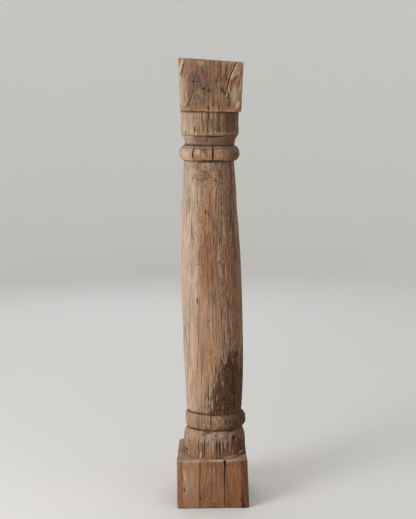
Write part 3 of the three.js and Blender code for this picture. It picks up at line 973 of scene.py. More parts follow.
# How light or dark the upright strips of the base's front are: way to the right, and tone.
STRIPS = (
    (-0.119, -0.65), (-0.107, -0.48), (-0.099, 0.2), (-0.09, 0.5), (-0.046, 0.4), (-0.041, 0.05),
    (0.036, 0.05), (0.041, -0.55), (0.089, -0.66), (0.096, -1.35), (0.118, -1.5),
)


@dataclass
class CarvedTimber:
    """The whole column as one surface of rows and columns.

    Attributes:
        across: The number of columns round the surface.
        margin: How far past its ends a split still draws the columns.
        taper: The length over which a split's end runs out.
        blunt: How much of that length its very end is spared.
        edge_room: How much deeper than its distance from an arris a split may go.
        dark_depth: How deep a split is where the painted shade at its bottom gets fully dark.
        rim_dark: How dark the painted shade on the rims of a wide split gets, as a share.
        rim_gapes: The openings at which the painted shade on the rims starts and is darkest.
        torn_depth: How deep a chip is where it shows as fully torn.
    """

    base: BaseBlock = BaseBlock()
    round_parts: RoundParts = RoundParts()
    cap: CapBlock = CapBlock()
    across: int = 384
    margin: float = 0.03
    taper: float = 0.03
    blunt: float = 0.002
    edge_room: float = 0.007
    dark_depth: float = 0.006
    rim_dark: float = 0.38
    rim_gapes: tuple[float, float] = (0.0014, 0.0044)
    torn_depth: float = 0.002

    def rows(self) -> list[Row]:
        """List every row from the underside's middle to the top's middle.

        Returns:
            The rows in order.
        """
        parts = self.round_parts
        drum = parts.drum_rows(self.cap.soffit, self.cap.bottom)
        made = self.base.rows(parts.foot)
        made += parts.collar_rows()
        made += parts.ring_rows(Zone.LOWER_RING, parts.lower)
        made += parts.shaft_rows()
        made += parts.ring_rows(Zone.UPPER_RING, parts.upper)
        made += parts.hollow_rows()
        made += drum
        made += self.cap.rows(drum[-1].place)
        return made

    def half_width(self, row: Row) -> float:
        """Return half the width of the block that a row belongs to, or the round radius."""
        if row.zone in BASE_ZONES or row.zone is Zone.UNDERSIDE:
            return self.base.width / 2
        return self.cap.width / 2 if row.zone in CAP_ZONES else self.round_parts.collar_radius

    def split_state(self, split: Split, row: Row) -> tuple[float, float, float, float] | None:
        """Find how a split acts on a row.

        Args:
            split: The split.
            row: The row.

        Returns:
            Its turn, half opening in turns, depth and hold on the columns, or None if it has no hold.
        """
        if row.zone not in split.zones:
            return None
        places, runs, openings = (np.array(values) for values in zip(*split.path))
        order = np.argsort(runs)
        runs = runs[order]
        outside = max(runs[0] - row.run, row.run - runs[-1], 0.0)
        if outside >= self.margin:
            return None
        half = self.half_width(row)
        turn = split.turn_at(float(np.interp(row.run, runs, places[order])), half)
        opening = float(np.interp(row.run, runs, openings[order]))
        around = 8.0 * half if split.side else 2.0 * math.pi * half
        hold = float(1.0 - smooth(outside, 0.0, self.margin))
        depth = 0.0
        if outside == 0.0:
            ends = min(row.run - runs[0], runs[-1] - row.run) + self.blunt
            most = split.depth * min(1.0, ends / self.taper) ** 0.5
            depth = min(most, row.to_edge + self.edge_room) * (opening / openings.max()) ** 0.5
        return turn, opening / 2 / around, depth, hold

    def columns(self, rows: list[Row]) -> tuple[Array, Array, Array]:
        """Draw the columns onto the splits, so that each split is a clean groove.

        Args:
            rows: All rows.

        Returns:
            For each row and column its turn, its depth in a split and how much painted shade it takes
            there.
        """
        half_across = self.across // 2
        numbers = np.arange(-half_across, half_across)
        turns = np.tile(numbers / self.across, (len(rows), 1))
        depths = np.zeros_like(turns)
        hidden = np.zeros_like(turns)
        homes = self.homes(rows)
        for row_number, row in enumerate(rows):
            seams = self.fixed_columns()
            if row.zone in ROUND_ZONES:
                seams = [seams[0], seams[-1]]
            pins = {seam: seam / self.across for seam in seams}
            for split, home in zip(SPLITS, homes):
                state = self.split_state(split, row)
                if state is None:
                    continue
                turn, half_opening, depth, hold = state
                middle = between(home / self.across, turn, hold)
                gap = between(1.0 / self.across, half_opening, hold)
                pins.update({home - 1: middle - gap, home: middle, home + 1: middle + gap})
                depths[row_number, home + half_across] = depth
                # The bottom of a split, and on round parts the rims of a wide one, get painted shade.
                dark = min(1.0, depth / self.dark_depth)
                hidden[row_number, home + half_across] = dark
                if split.side is None:
                    gape = 2.0 * half_opening * 2.0 * math.pi * self.round_parts.collar_radius
                    beside = self.rim_dark * dark * float(smooth(gape, *self.rim_gapes))
                    for column in (home - 1, home + 1):
                        hidden[row_number, column + half_across] = beside
            keys = sorted(pins)
            turns[row_number] = np.interp(numbers, keys, [pins[key] for key in keys])
        order = numbers * 1e-7
        return np.maximum.accumulate(turns - order, axis=1) + order, depths, hidden

    def fixed_columns(self) -> list[int]:
        """Return the columns that never move: the blocks' corners and the seam at the back."""
        eighth = self.across // 8
        return [-4 * eighth, -3 * eighth, -eighth, eighth, 3 * eighth, 4 * eighth]

    def homes(self, rows: list[Row]) -> list[int]:
        """Find for each split the column that it draws to itself.

        Args:
            rows: All rows.

        Returns:
            The columns, in the splits' order.
        """
        found = []
        for split in SPLITS:
            states = [self.split_state(split, row) for row in rows]
            turns = [state[0] for state in states if state and state[3] == 1.0]
            found.append(round(sum(turns) / len(turns) * self.across))
        return found

    def surface(self) -> tuple[Array, dict[str, Array]]:
        """Work out every point of the surface and what the finish has to know about it.

        Returns:
            The points by row and column, and the marks by name.
        """
        rows = self.rows()
        turns, depths, hidden = self.columns(rows)
        points = np.stack([row.place(turn) for row, turn in zip(rows, turns)])
        outward = self.outward(points)
        torn = np.zeros(points.shape[:2])
        for chip in self.chips():
            bite = chip.bite(points, -outward)
            points = points - outward * bite[..., None]
            torn = np.maximum(torn, np.minimum(1.0, bite / self.torn_depth))
        for gap in BREAKS:
            struck = np.array([row.zone in gap.zones for row in rows])
            broken = points.copy()
            broken[struck] = gap.flatten(points[struck])
            moved = np.linalg.norm(points - broken, axis=2)
            torn = np.maximum(torn, np.minimum(1.0, moved / self.torn_depth))
            points = broken
        marks = {"outward": outward, "hidden": hidden, "torn": torn}
        marks.update(self.wear(points, outward))
        marks["bleach"] = self.bleach(rows, turns)
        marks["tone"] = self.tone(rows, turns, points)
        points = points - outward * depths[..., None]
        for name in ("furrow", "crude", "edge", "crease", "ledge"):
            marks[name] = np.repeat([[getattr(row, name)] for row in rows], self.across, axis=1)
        marks["edge"] = np.maximum(marks["edge"], self.corner_wear(rows, turns))
        silvered = 0.45 * marks["silver"] * (points[..., 2] > self.cap.bottom)
        marks["crude"] = np.maximum(marks["crude"], silvered)
        loose = [[row.zone is not Zone.UNDERSIDE] for row in rows]
        sawn = [[row.zone in END_GRAIN_ZONES] for row in rows]
        marks["loose"] = np.repeat(loose, self.across, axis=1)
        marks["end_grain"] = np.repeat(sawn, self.across, axis=1)
        return points, marks

    def chips(self) -> list[Chip]:
        """List all chips, with those of the round parts set on their surface.

        Returns:
            The chips.
        """
        made = list(BLOCK_CHIPS)
        for turn, height, radius, half in ROUND_CHIPS:
            angle = math.radians(turn)
            x = radius * math.sin(angle) + self.round_parts.axis(height)
            made.append(Chip((x, -radius * math.cos(angle), height), half, turn=turn))
        return made

    def corner_wear(self, rows: list[Row], turns: Array) -> Array:
        """Return how near each point is to an upright arris of a block, as a share."""
        off = np.abs(np.abs(np.abs(turns) - 0.25) - 0.125) * 8.0 * self.base.width / 2
        near = 1.0 - smooth(off, 0.003, 0.016)
        blocks = np.array([row.zone in (Zone.BASE_SIDE, Zone.CAP_SIDE) for row in rows])
        return near * blocks[:, None]

    @staticmethod
    def wear(points: Array, outward: Array) -> dict[str, Array]:
        """Work out how strongly each kind of wear, and the painted highlight in the pale patches, shows.

        Args:
            points: The surface's points.
            outward: The way out of the surface at each point.

        Returns:
            A number for each point, by the wear's name.
        """
        shown = {wear.value: np.zeros(points.shape[:2]) for wear in Wear}
        for patch in PATCHES:
            name = patch.wear.value
            shown[name] = np.maximum(shown[name], patch.cover(points, outward))
        return shown

    @staticmethod
    def bleach(rows: list[Row], turns: Array) -> Array:
        """Work out how far the sun has bleached the wood, most on the left of the shaft.

        Args:
            rows: All rows.
            turns: Each point's turn.

        Returns:
            A share for each point.
        """
        levels = np.array([BLEACHED[row.zone] for row in rows])
        heights = np.array([row.run for row in rows])
        shaded = smooth(heights, 0.98, 1.1) * (1.0 - smooth(heights, 1.12, 1.13))
        shaded = shaded + 0.8 * smooth(heights, 0.3, 0.306) * (1.0 - smooth(heights, 0.32, 0.46))
        levels = (levels * (1.0 - 0.35 * shaded))[:, None]
        degrees = turns * 360.0
        return levels * smooth(-degrees, 2.0, 56.0) * (1.0 - smooth(-degrees, 115.0, 165.0))

    @staticmethod
    def outward(points: Array) -> Array:
        """Work out which way is out of the surface.

        Args:
            points: The surface's points.

        Returns:
            A way of length 1 for each point.
        """
        along = np.gradient(points, axis=0)
        round_about = np.roll(points, -1, axis=1) - np.roll(points, 1, axis=1)
        out = np.cross(round_about, along)
        length = np.maximum(np.linalg.norm(out, axis=2, keepdims=True), 1e-12)
        return out / length

    def build(self) -> bpy.types.Object:
        """Build the surface as a closed mesh object with its marks as attributes.

        Returns:
            The object, linked to the scene.
        """
        points, marks = self.surface()
        count_rows, across = points.shape[:2]
        vertices = points.reshape(-1, 3)
        grid = np.arange(count_rows * across).reshape(count_rows, across)
        near, right = grid[:-1], np.roll(grid[:-1], -1, axis=1)
        quads = np.stack([near, right, np.roll(grid[1:], -1, axis=1), grid[1:]], axis=2).reshape(-1, 4)
        ends = [points[0].mean(axis=0), points[-1].mean(axis=0)]
        vertices = np.vstack([vertices, ends])
        low, high = len(vertices) - 2, len(vertices) - 1
        fans = [(low, int(b), int(a)) for a, b in zip(grid[0], np.roll(grid[0], -1))]
        fans += [(high, int(a), int(b)) for a, b in zip(grid[-1], np.roll(grid[-1], -1))]
        mesh = bpy.data.meshes.new(NODE)
        mesh.from_pydata(vertices.tolist(), [], quads.tolist() + fans)
        for name, values in marks.items():
            self.store(mesh, name, values)
        self.store(mesh, "timber", self.timber(points))
        self.store(mesh, "stain", self.stain(points))
        piece = bpy.data.objects.new("column_timber", mesh)
        bpy.context.collection.objects.link(piece)
        LOG.info("surface of %d rows and %d columns, %d faces", count_rows, across, len(mesh.polygons))
        return piece

    @staticmethod
    def store(mesh: bpy.types.Mesh, name: str, values: Array) -> None:
        """Store a mark on the mesh's points; the two end points take their row's mean.

        Args:
            mesh: The mesh.
            name: The mark's name.
            values: One number or one vector for each row and column.
        """
        vector = values.ndim == 3
        flat = values.reshape(-1, 3) if vector else values.reshape(-1)
        ends = np.stack([values[0].mean(axis=0), values[-1].mean(axis=0)])
        whole = np.concatenate([flat, ends]).astype(np.float32)
        made = mesh.attributes.new(name, "FLOAT_VECTOR" if vector else "FLOAT", "POINT")
        made.data.foreach_set("vector" if vector else "value", whole.ravel())

    @staticmethod
    def timber(points: Array) -> Array:
        """Return where each point lies in the straight-grained timber.

        Args:
            points: The surface's points.

        Returns:
            The points, sheared where the grain leans in the cap.
        """
        moved = points.copy()
        lean = 0.03 + 0.17 * smooth(np.abs(points[..., 0] - 0.005), 0.03, 0.09)
        moved[..., 0] -= np.maximum(points[..., 2] - 1.285, 0.0) * lean
        return moved

    @staticmethod
    def stain(points: Array) -> Array:
        """Work out how strongly the dark patch low on the right shows.

        Args:
            points: The surface's points.

        Returns:
            A strength for each point.
        """
        x, y, z = points[..., 0], points[..., 1], points[..., 2]
        degrees = np.degrees(np.arctan2(x - 0.006, -y))
        heights, edges, strengths = (np.array(values) for values in zip(*DARK_PATCH))
        inside = smooth(degrees - np.interp(z, heights, edges), -20.0, 20.0)
        return inside * np.interp(z, heights, strengths) * (1.0 - smooth(degrees, 95.0, 135.0))

    @staticmethod
    def tone(rows: list[Row], turns: Array, points: Array) -> Array:
        """Return how light or dark the wood is, from -1.5 to 1.

        Args:
            rows: All rows.
            turns: Each point's turn.
            points: The surface's points.

        Returns:
            The strips of the base's front, the darker cap, the shaft's light middle and the painted
            shade on the right side of the round parts.
        """
        x, y, z = points[..., 0], points[..., 1], points[..., 2]
        places, tones = (np.array(values) for values in zip(*STRIPS))
        front = (1.0 - smooth(z, 0.162, 0.172)) * (1.0 - smooth(y, -0.1, -0.085))
        strips = np.interp(x, places, tones) * front
        degrees = turns * 360.0
        # Painted shade: the round parts are darker on the side that faces right.
        dark = np.array([RIGHT_SHADE.get(row.zone, 0.0) for row in rows])[:, None]
        right = dark * smooth(degrees, 8.0, 55.0) * (1.0 - smooth(degrees, 100.0, 160.0))
        flanks = np.maximum(smooth(-x, 0.045, 0.08), 0.6 * smooth(x, 0.055, 0.085))
        cap = -0.62 * smooth(z, 1.283, 1.29) * (1.0 - flanks)
        shaft = np.array([row.zone is Zone.SHAFT for row in rows])[:, None]
        middle = 0.5 * shaft * (1.0 - smooth(np.abs(degrees), 15.0, 50.0))
        return strips + cap + middle * (1.0 - 0.6 * smooth(z, 0.6, 0.75)) + right


class Graph:
    """A node tree with short calls for the nodes that a finish or a form needs."""

    def __init__(self, tree: bpy.types.NodeTree) -> None:
        """Take the tree to build in."""
        self.tree = tree

    def add(self, kind: str, wires: dict | None = None, **settings: object) -> bpy.types.Node:
        """Add a node.

        Args:
            kind: The node's type.
            wires: Input names or numbers with a socket or a value for each.
            settings: The node's own settings.

        Returns:
            The node.
        """
        node = self.tree.nodes.new(kind)
        for name, value in settings.items():
            setattr(node, name, value)
        for name, value in (wires or {}).items():
            self.feed(node.inputs[name], value)
        return node

    def feed(self, socket: Socket, value: object) -> None:
        """Link a socket into another, or set a plain value on it."""
        if isinstance(value, Socket):
            self.tree.links.new(value, socket)
        else:
            socket.default_value = value

    def math(self, operation: str, first: object, second: object = 0.0, third: object = 0.0) -> Socket:
        """Do sums on numbers and return the result's socket."""
        return self.add("ShaderNodeMath", {0: first, 1: second, 2: third}, operation=operation).outputs[0]

    def times(self, first: object, *others: object) -> Socket:
        """Return the product of two or more numbers."""
        return reduce(partial(self.math, "MULTIPLY"), others, first)

    def stirred(self, value: object, noise: object, strength: float) -> Socket:
        """Return a number, raised and lowered by noise round 0.5."""
        return self.math("MULTIPLY_ADD", self.math("SUBTRACT", noise, 0.5), strength, value)

    def vector(self, operation: str, first: object, second: object = (0.0, 0.0, 0.0)) -> Socket:
        """Do sums on vectors and return the result's socket."""
        return self.add("ShaderNodeVectorMath", {0: first, 1: second}, operation=operation).outputs[0]

    def scaled(self, value: object, size: object) -> Socket:
        """Return a vector times a number."""
        return self.add("ShaderNodeVectorMath", {0: value, "Scale": size}, operation="SCALE").outputs[0]

    def length(self, value: object) -> Socket:
        """Return a vector's length."""
        return self.add("ShaderNodeVectorMath", {0: value}, operation="LENGTH").outputs["Value"]

    def joined(self, x: object = 0.0, y: object = 0.0, z: object = 0.0) -> Socket:
        """Return the vector of three numbers."""
        return self.add("ShaderNodeCombineXYZ", {0: x, 1: y, 2: z}).outputs[0]

    def parts(self, value: object) -> Sequence[Socket]:
        """Return a vector's three numbers."""
        return self.add("ShaderNodeSeparateXYZ", {0: value}).outputs

    def noise(self, where: object, detail: float = 2.0, rough: float = 0.5, seed: object = 0.0) -> Socket:
        """Return seeded noise round 0.5, one wave to the unit."""
        wires = {"Vector": where, "W": seed, "Scale": 1.0, "Detail": detail, "Roughness": rough}
        return self.add("ShaderNodeTexNoise", wires, noise_dimensions="4D").outputs[0]

    def band(self, value: object, low: float, high: float, start: float = 0.0, end: float = 1.0) -> Socket:
        """Ease a number from start at low to end at high."""
        wires = {"Value": value, "From Min": low, "From Max": high, "To Min": start, "To Max": end}
        return self.add("ShaderNodeMapRange", wires, interpolation_type="SMOOTHSTEP").outputs[0]

    def blend(self, share: object, first: object, second: object) -> Socket:
        """Blend two colours by a share."""
        return self.add("ShaderNodeMix", {0: share, 6: first, 7: second}, data_type="RGBA").outputs[2]


@dataclass
class Weathering:
    """What weather, tools and knocks do to the wood's surface, as a geometry tree."""

    furrow_depth: float = 0.0014
    furrow_width: float = 0.006
    furrow_length: float = 0.18
    hewing_depth: float = 0.0016
    hewing_size: float = 0.06
    crude_depth: float = 0.006
    crude_size: float = 0.022
    wear_depth: float = 0.0038
    wear_size: float = 0.018
    sun_smoothing: float = 0.6
    seed: float = 3.0

    def inputs(self) -> dict[str, float]:
        """Return the tree's named inputs with their values."""
        return {name.replace("_", " ").capitalize(): value for name, value in vars(self).items()}

    def mark(self, graph: Graph, name: str, kind: str = "FLOAT") -> Socket:
        """Return a named mark of the surface."""
        return graph.add("GeometryNodeInputNamedAttribute", {"Name": name}, data_type=kind).outputs[0]

    def pattern(self, graph: Graph, size: tuple, look: tuple[float, float], seed: object) -> Socket:
        """Return noise that lies along the grain.

        Args:
            graph: The tree in the making.
            size: How wide and how long its waves are.
            look: How detailed and how rough it is.
            seed: Its seed.

        Returns:
            The noise, round 0.5.
        """
        across, along = (graph.math("DIVIDE", 1.0, length) for length in size)
        timber = self.mark(graph, "timber", "FLOAT_VECTOR")
        where = graph.vector("MULTIPLY", timber, graph.joined(across, across, along))
        return graph.noise(where, *look, seed)

    def depth(self, graph: Graph, given: Sequence[Socket]) -> tuple[Socket, Socket]:
        """Work out how deep the weathering goes.

        Args:
            graph: The tree in the making.
            given: The tree's inputs.

        Returns:
            The depth, and how furrowed each point is.
        """
        seeds = [graph.math("ADD", given["Seed"], shift) for shift in (0.0, 7.0, 13.0, 29.0)]
        hewing_size, crude_size, wear_size = (given[f"{kind} size"] for kind in ("Hewing", "Crude", "Wear"))
        grain = self.pattern(graph, (given["Furrow width"], given["Furrow length"]), (3.0, 0.55), seeds[0])
        hewing = self.pattern(graph, (hewing_size, graph.times(hewing_size, 3.0)), (1.0, 0.5), seeds[1])
        lumps = self.pattern(graph, (crude_size, crude_size), (2.0, 0.5), seeds[2])
        knocks = self.pattern(graph, (wear_size, graph.times(wear_size, 2.0)), (3.0, 0.6), seeds[3])
        furrow = graph.times(graph.band(grain, 0.36, 0.62), self.mark(graph, "furrow"))
        smoothed = graph.times(self.mark(graph, "bleach"), given["Sun smoothing"])
        furrow = graph.times(furrow, graph.math("SUBTRACT", 1.0, smoothed))
        deep = graph.times(furrow, given["Furrow depth"])
        deep = graph.math("MULTIPLY_ADD", graph.band(hewing, 0.42, 0.75), given["Hewing depth"], deep)
        torn = graph.times(self.mark(graph, "torn"), 0.5)
        crude = graph.math("MAXIMUM", self.mark(graph, "crude"), torn)
        lumpy = graph.times(graph.band(lumps, 0.42, 0.72), crude)
        deep = graph.math("MULTIPLY_ADD", lumpy, given["Crude depth"], deep)
        worn = graph.times(graph.band(knocks, 0.48, 0.78), self.mark(graph, "edge"))
        deep = graph.math("MULTIPLY_ADD", worn, given["Wear depth"], deep)
        return graph.times(deep, self.mark(graph, "loose")), furrow

    def tree(self) -> bpy.types.NodeTree:
        """Build the tree, which only ever moves the surface inwards.

        Returns:
            The geometry node tree.
        """
        tree = bpy.data.node_groups.new("weathering", "GeometryNodeTree")
        tree.interface.new_socket("Geometry", in_out="INPUT", socket_type="NodeSocketGeometry")
        for name in self.inputs():
            tree.interface.new_socket(name, in_out="INPUT", socket_type="NodeSocketFloat")
        tree.interface.new_socket("Wood", in_out="INPUT", socket_type="NodeSocketMaterial")
        tree.interface.new_socket("Geometry", in_out="OUTPUT", socket_type="NodeSocketGeometry")
        graph = Graph(tree)
        given = graph.add("NodeGroupInput").outputs
        deep, furrow = self.depth(graph, given)
        offset = graph.scaled(self.mark(graph, "outward", "FLOAT_VECTOR"), graph.times(deep, -1.0))
        wires = {"Geometry": given["Geometry"], "Offset": offset}
        moved = graph.add("GeometryNodeSetPosition", wires).outputs[0]
        wires = {"Geometry": moved, "Name": "furrowed", "Value": furrow}
        stored = graph.add("GeometryNodeStoreNamedAttribute", wires, data_type="FLOAT", domain="POINT")
        whole = graph.add("GeometryNodeRealizeInstances", {"Geometry": stored.outputs[0]}).outputs[0]
        dressed = graph.add("GeometryNodeSetMaterial", {"Geometry": whole, "Material": given["Wood"]})
        graph.feed(graph.add("NodeGroupOutput").inputs[0], dressed.outputs[0])
        return tree

    def apply(self, piece: bpy.types.Object, wood: bpy.types.Material) -> None:
        """Run the tree on a piece and keep the result as its plain mesh.

        Args:
            piece: The piece to weather.
            wood: The material that the tree sets.
        """
        tree = self.tree()
        modifier = piece.modifiers.new("weathering", "NODES")
        modifier.node_group = tree
        values = {**self.inputs(), "Wood": wood}
        for item in tree.interface.items_tree:
            if item.in_out == "INPUT" and item.name in values:
                modifier[item.identifier] = values[item.name]
        depsgraph = bpy.context.evaluated_depsgraph_get()
        weathered = bpy.data.meshes.new_from_object(piece.evaluated_get(depsgraph))
        piece.modifiers.remove(modifier)
        piece.data = weathered
        weathered.shade_smooth()
        weathered.set_sharp_from_angle(angle=math.radians(SHARP_ANGLE))
        LOG.info("weathered %s: %d points", piece.name, len(weathered.vertices))


@dataclass(frozen=True)
class Knot:
    """A knot that the grain flows round.

    Attributes:
        at: Its middle.
        radius: Its radius.
        red: How red it is, as a share.
        dark: How dark its heart is, as a share.
        squat: Its width over its height.
        rings: Whether rings show in it.
    """

    at: Point
    radius: float
    red: float = 0.0
    dark: float = 0.8
    squat: float = 0.8
    rings: bool = False


def round_knot(degrees: float, height: float, radius: float, **looks: float) -> Knot:
    """Make a knot in the round parts.

    Args:
        degrees: Its turn from the front.
        height: Its height.
        radius: Its radius.
        looks: Its other looks.

    Returns:
        The knot.
    """
    parts = RoundParts()
    surface = parts.drum_radius if height > parts.shaft_top else parts.shaft_radius(height)
    if height < parts.shaft_bottom:
        surface = parts.collar_radius
    place = parts.loop(np.array([degrees / 360.0]), surface, height)[0]
    return Knot(tuple(float(value) for value in place), radius, **looks)


KNOTS = (
    round_knot(-20, 1.083, 0.02, dark=0.0, squat=1.3, rings=True),
    round_knot(8, 1.066, 0.006, red=0.5, dark=0.1, squat=0.7),
    round_knot(-13, 1.152, 0.01, red=0.5, dark=0.3, squat=0.9, rings=True),
    round_knot(-3, 0.844, 0.0042, red=1.0, dark=0.35),
    round_knot(17, 0.811, 0.0045, red=1.0, dark=0.5),
    round_knot(-19, 0.746, 0.007, dark=0.0),
    round_knot(-6, 0.621, 0.004, red=0.8, dark=0.3),
    round_knot(-3, 0.523, 0.0036, red=1.0, dark=0.5),
    round_knot(-7, 0.509, 0.0036, red=1.0, dark=0.2),
    round_knot(3, 0.503, 0.003, red=0.2, dark=0.8),
    round_knot(27, 0.452, 0.01, red=0.3, dark=0.3, rings=True),
    round_knot(100, 0.76, 0.008, red=0.5, dark=0.5, rings=True),
    round_knot(-146, 0.93, 0.009, red=0.4, dark=0.5, rings=True),
    round_knot(170, 0.64, 0.006, red=0.6, dark=0.6),
    Knot((-0.092, -0.109, 0.064), 0.005, red=0.2, dark=0.9, squat=0.6, rings=True),
    Knot((0.091, -0.109, 0.03), 0.005, red=0.3, dark=0.7, rings=True),
    Knot((0.002, -0.109, -0.014), 0.02, dark=0.0, squat=0.7, rings=True),
    Knot((-0.115, 0.03, 0.09), 0.007, red=0.5, dark=0.6, rings=True),
    Knot((0.095, 0.01, 1.35), 0.008, red=0.3, dark=0.5, rings=True),
)


class Grain(Enum):
    """Patterns in the grain: how wide and how long a wave is, how detailed, and its seed."""

    BROAD = (0.045, 0.5, 3.0, 1.0)
    STREAK = (0.006, 0.12, 3.0, 2.0)
    FIBRE = (0.0027, 0.05, 3.0, 3.0)
    MOTTLE = (0.011, 0.034, 3.0, 6.0)
    DASH = (0.0023, 0.0085, 2.0, 7.0)
    PORE = (0.0016, 0.03, 2.0, 11.0)
    LUMP = (0.0045, 0.0065, 3.0, 51.0)
    BLOT = (0.009, 0.03, 3.0, 61.0)
    STRIPE = (0.003, 0.012, 2.0, 71.0)


@dataclass(frozen=True)
class OldTimber:
    """Bare hardwood that has weathered, dried and split for many years.

    Attributes:
        bleached: Wood on the side that the sun has bleached.
        straw: Its darker grain.
        tan: The plain surface elsewhere.
        honey: Its lighter grain.
        ochre: Warm wood where the surface is worn to the heart.
        brown: The darker grain.
        russet: The redder wood of the base.
        red: The hearts of knots.
        silver: Silvered, fibrous wood.
        ash: The grey cast of weathered grain.
        umber: The dark, warm wood of the base's darker strips and of the cap, and the painted shade on the
            sides that face right.
        dust: Dust on what faces up.
        soot: Black dirt.
        grime: Brown dirt in creases and furrows, with painted shade in the creases.
        deep: The painted shade inside splits.
        stain: The dark patch low on the right.
        rust: The warm flecks in it.
        bump: How strongly the pores stand out.
        bump_depth: How deep the pores are.
        gloss: How much the bare surface shines.
    """

    bleached: Colour = (0.59, 0.445, 0.335, 1.0)
    straw: Colour = (0.48, 0.34, 0.24, 1.0)
    tan: Colour = (0.378, 0.222, 0.136, 1.0)
    honey: Colour = (0.535, 0.352, 0.226, 1.0)
    ochre: Colour = (0.39, 0.165, 0.06, 1.0)
    brown: Colour = (0.095, 0.048, 0.026, 1.0)
    russet: Colour = (0.3, 0.128, 0.054, 1.0)
    red: Colour = (0.24, 0.075, 0.022, 1.0)
    silver: Colour = (0.182, 0.158, 0.138, 1.0)
    ash: Colour = (0.3, 0.235, 0.185, 1.0)
    umber: Colour = (0.11, 0.042, 0.012, 1.0)
    dust: Colour = (0.4, 0.29, 0.205, 1.0)
    soot: Colour = (0.04, 0.026, 0.018, 1.0)
    grime: Colour = (0.075, 0.043, 0.026, 1.0)
    deep: Colour = (0.012, 0.008, 0.006, 1.0)
    stain: Colour = (0.052, 0.023, 0.01, 1.0)
    rust: Colour = (0.23, 0.105, 0.045, 1.0)
    bump: float = 0.55
    bump_depth: float = 0.0012
    gloss: float = 0.18

    def material(self) -> bpy.types.Material:
        """Build the wood's material.

        Returns:
            The material.
        """
        made = bpy.data.materials.new("old_timber")
        made.use_nodes = True
        made.node_tree.nodes.clear()
        graph = TimberGraph(made.node_tree, self)
        colour = graph.colour()
        rough = graph.band(graph.fibre, 0.3, 0.7, 0.62, 0.86)
        height = graph.math("MULTIPLY_ADD", graph.grain(Grain.PORE), 0.4, graph.fibre)
        bump_wires = {"Strength": self.bump, "Distance": self.bump_depth, "Height": height}
        bump = graph.add("ShaderNodeBump", bump_wires).outputs[0]
        wires = {"Base Color": colour, "Roughness": rough, "Normal": bump}
        shader = graph.add("ShaderNodeBsdfPrincipled", wires)
        shader.inputs["Metallic"].default_value = 0.0
        shader.inputs["Specular IOR Level"].default_value = self.gloss
        graph.feed(graph.add("ShaderNodeOutputMaterial").inputs["Surface"], shader.outputs[0])
        return made


